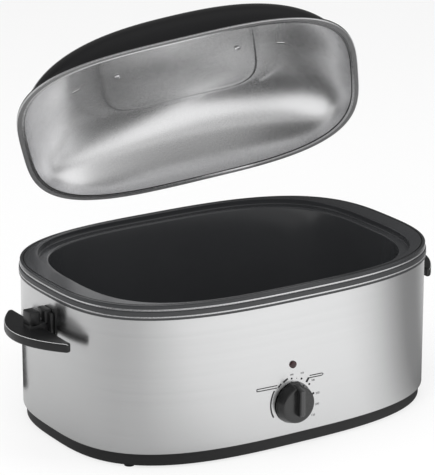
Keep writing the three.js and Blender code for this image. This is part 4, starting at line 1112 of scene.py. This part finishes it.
# Floor, world, cards and lamps. The floor and the room show reflections a tone by heading round the oven,
# where 0 is along +X; in reflections the floor also darkens near the oven, a painted shadow
stageSpec = {
    "floorColor": 0.88, "mottle": 0.04, "mottleScale": 1.2, "floorReach": 9.0, "backdrop": 1.0,
    "shade": 0.78, "worldLight": 0.55,
    "near": 0.25, "far": 0.6, "nearPaintedShadowTone": 0.82, "zenith": 0.25, "fade": (0.45, 0.85),
    "tones": [(-180, 0.42), (-158, 0.36), (-140, 0.4), (-122, 0.6), (-106, 0.84), (-88, 0.95),
              (-68, 1.0), (-56, 0.98), (-46, 0.74), (-34, 0.3), (-24, 0.06), (-8, 0.06), (20, 0.5),
              (60, 0.9), (150, 0.55), (180, 0.42)],
    "room": [(-180, 0.12), (-140, 0.15), (-122, 0.35), (-105, 0.45), (-80, 0.62), (-60, 1.1), (-40, 1.1),
             (-10, 0.5), (25, 0.15), (60, 0.1), (105, 0.12), (130, 0.8), (155, 1.0), (170, 0.5), (180, 0.18)],
}
white = (1, 1, 1, 1)


def rayKind(tree, kind):
    return addNode(tree, "LightPath").outputs["Is " + kind + " Ray"]


def seenDirectly(tree):
    seen = mathNode(tree, "MAXIMUM", rayKind(tree, "Camera"), rayKind(tree, "Glossy"))
    return mathNode(tree, "MAXIMUM", seen, rayKind(tree, "Transmission"))


# Grey by heading round the up axis, from a list of (degrees, tone)
def headingTone(tree, vector, tones):
    around = addNode(tree, "TexGradient", {"Vector": vector}, gradient_type="RADIAL").outputs["Fac"]
    ramp = addNode(tree, "ValToRGB", {0: around})
    stops = ramp.color_ramp.elements
    while len(stops) < len(tones):
        stops.new(0.5)
    for stop, (heading, tone) in zip(stops, tones):
        stop.position = heading / 360 + 0.5
        stop.color = solid(tone)
    return ramp.outputs["Color"]


# Object of the stage, with a material made of bare nodes
def stageObject(name, mesh):
    made = bpy.data.objects.new(name, mesh)
    scene.collection.objects.link(made)
    material = bpy.data.materials.new(name)
    material.use_nodes = True
    material.node_tree.nodes.clear()
    mesh.materials.append(material)
    return made, material.node_tree


def buildFloor():
    mesh = bpy.data.meshes.new("studioFloor")
    work = bmesh.new()
    bmesh.ops.create_grid(work, x_segments=24, y_segments=24, size=stageSpec["floorReach"])
    work.to_mesh(mesh)
    work.free()
    floor, tree = stageObject("studioFloor", mesh)
    floor.location = (0, 0, -footSpec["proud"] * toMetres)
    color, mottle, scale = pick(stageSpec, "floorColor mottle mottleScale")
    cloud = placeGroup(tree, "mottle", Color=solid(color), Amount=mottle, Scale=scale)
    paper = addNode(tree, "BsdfDiffuse", {"Color": cloud["Color"]}).outputs[0]
    place = objectPlace(tree)
    reach = addNode(tree, "VectorMath", {0: place}, operation="LENGTH").outputs["Value"]
    # in reflections the floor is darker near the oven: a painted shadow
    paintedShadowFactor = ranged(tree, reach, stageSpec["near"], stageSpec["far"], stageSpec["nearPaintedShadowTone"])
    tone = mathNode(tree, "MULTIPLY", headingTone(tree, place, stageSpec["tones"]), paintedShadowFactor)
    glossy = mixColor(tree, rayKind(tree, "Glossy"), white, tone)
    glow = addNode(tree, "Emission", {"Color": glossy, "Strength": stageSpec["backdrop"]}).outputs[0]
    share = mathNode(tree, "MULTIPLY", seenDirectly(tree), stageSpec["shade"])
    addNode(tree, "OutputMaterial", {0: mixShader(tree, share, paper, glow)})


def buildWorld():
    world = bpy.data.worlds.new("studioWorld")
    scene.world = world
    world.use_nodes = True
    tree = world.node_tree
    tree.nodes.clear()
    light = addNode(tree, "Background", {"Color": white, "Strength": stageSpec["worldLight"]}).outputs[0]
    place = addNode(tree, "TexCoord").outputs["Generated"]
    rise = ranged(tree, addNode(tree, "SeparateXYZ", {0: place}).outputs["Z"], *stageSpec["fade"])
    room = mixColor(tree, rise, headingTone(tree, place, stageSpec["room"]), solid(stageSpec["zenith"]))
    tone = mixColor(tree, rayKind(tree, "Glossy"), white, room)
    seen = addNode(tree, "Background", {"Color": tone, "Strength": stageSpec["backdrop"]}).outputs[0]
    addNode(tree, "OutputWorld", {0: mixShader(tree, seenDirectly(tree), light, seen)})


def flatCard(z, lowX, highX, lowY, highY):
    return [(lowX, lowY, z), (highX, lowY, z), (highX, highY, z), (lowX, highY, z)]


# Cards that only reflections see: pale ones over the pan and behind the shell, a dark one behind the oven
# that paints the shadow on the floor there.
# A one-sided card shows nothing from its back
cardSet = {
    "panCard": {"tone": 0.55, "corners": flatCard(0.2165, -0.19, 0.14, -0.14, 0.06)},
    "panBackCard": {"tone": 1.1, "corners": flatCard(0.2165, -0.19, 0.14, 0.06, 0.14)},
    "lipCard": {"tone": 1.1, "oneSided": True,
                "corners": [(-0.19, 0.14, 0.217), (0.14, 0.14, 0.217), (0.135, 0.15, 0.217),
                            (0.1, 0.2, 0.217), (-0.19, 0.2, 0.217)]},
    "shellBackCard": {"tone": 1.2, "oneSided": True,
                      "corners": [(0.19, 0.197, 0.17), (0.11, 0.197, 0.17), (0.11, 0.197, 0.216),
                                  (0.19, 0.197, 0.216)]},
    "backCard": {"tone": 0.06, "corners": flatCard(0.002, -0.28, 0.42, 0.19, 0.48)},
    "sideCard": {"tone": 1.2, "oneSided": True,
                 "corners": [(0.22, 0.36, 0.002), (0.22, 0.19, 0.002), (0.22, 0.19, 0.12),
                             (0.22, 0.36, 0.12)]},
}


def buildCard(name, spec):
    mesh = bpy.data.meshes.new(name)
    mesh.from_pydata(spec["corners"], [], [tuple(range(len(spec["corners"])))])
    card, tree = stageObject(name, mesh)
    card.visible_camera = card.visible_diffuse = card.visible_shadow = False
    card.visible_transmission = card.visible_volume_scatter = False
    glow = addNode(tree, "Emission", {"Color": white, "Strength": spec["tone"]}).outputs[0]
    if spec.get("oneSided"):
        clear = addNode(tree, "BsdfTransparent").outputs[0]
        glow = mixShader(tree, addNode(tree, "NewGeometry").outputs["Backfacing"], glow, clear)
    addNode(tree, "OutputMaterial", {0: glow})


lampSet = {
    "keyLamp": {"place": (-1.5, -1.5, 2.3), "size": 2.2, "power": 50.0},
    "fillLamp": {"place": (1.9, -1.7, 1.5), "size": 1.8, "power": 14.0},
    "topLamp": {"place": (0.1, 0.4, 2.6), "size": 2.0, "power": 26.0},
}
lampTarget = (0, 0, 0.2)


def buildLamp(name, spec):
    data = bpy.data.lights.new(name, "AREA")
    data.shape = "DISK"
    data.size = spec["size"]
    data.energy = spec["power"]
    aimed(name, data, spec["place"], lampTarget).visible_glossy = False


buildFloor()
buildWorld()
for cardName, cardValues in cardSet.items():
    buildCard(cardName, cardValues)
for lampName, lampValues in lampSet.items():
    buildLamp(lampName, lampValues)
print("floor, world, cards and lamps made")
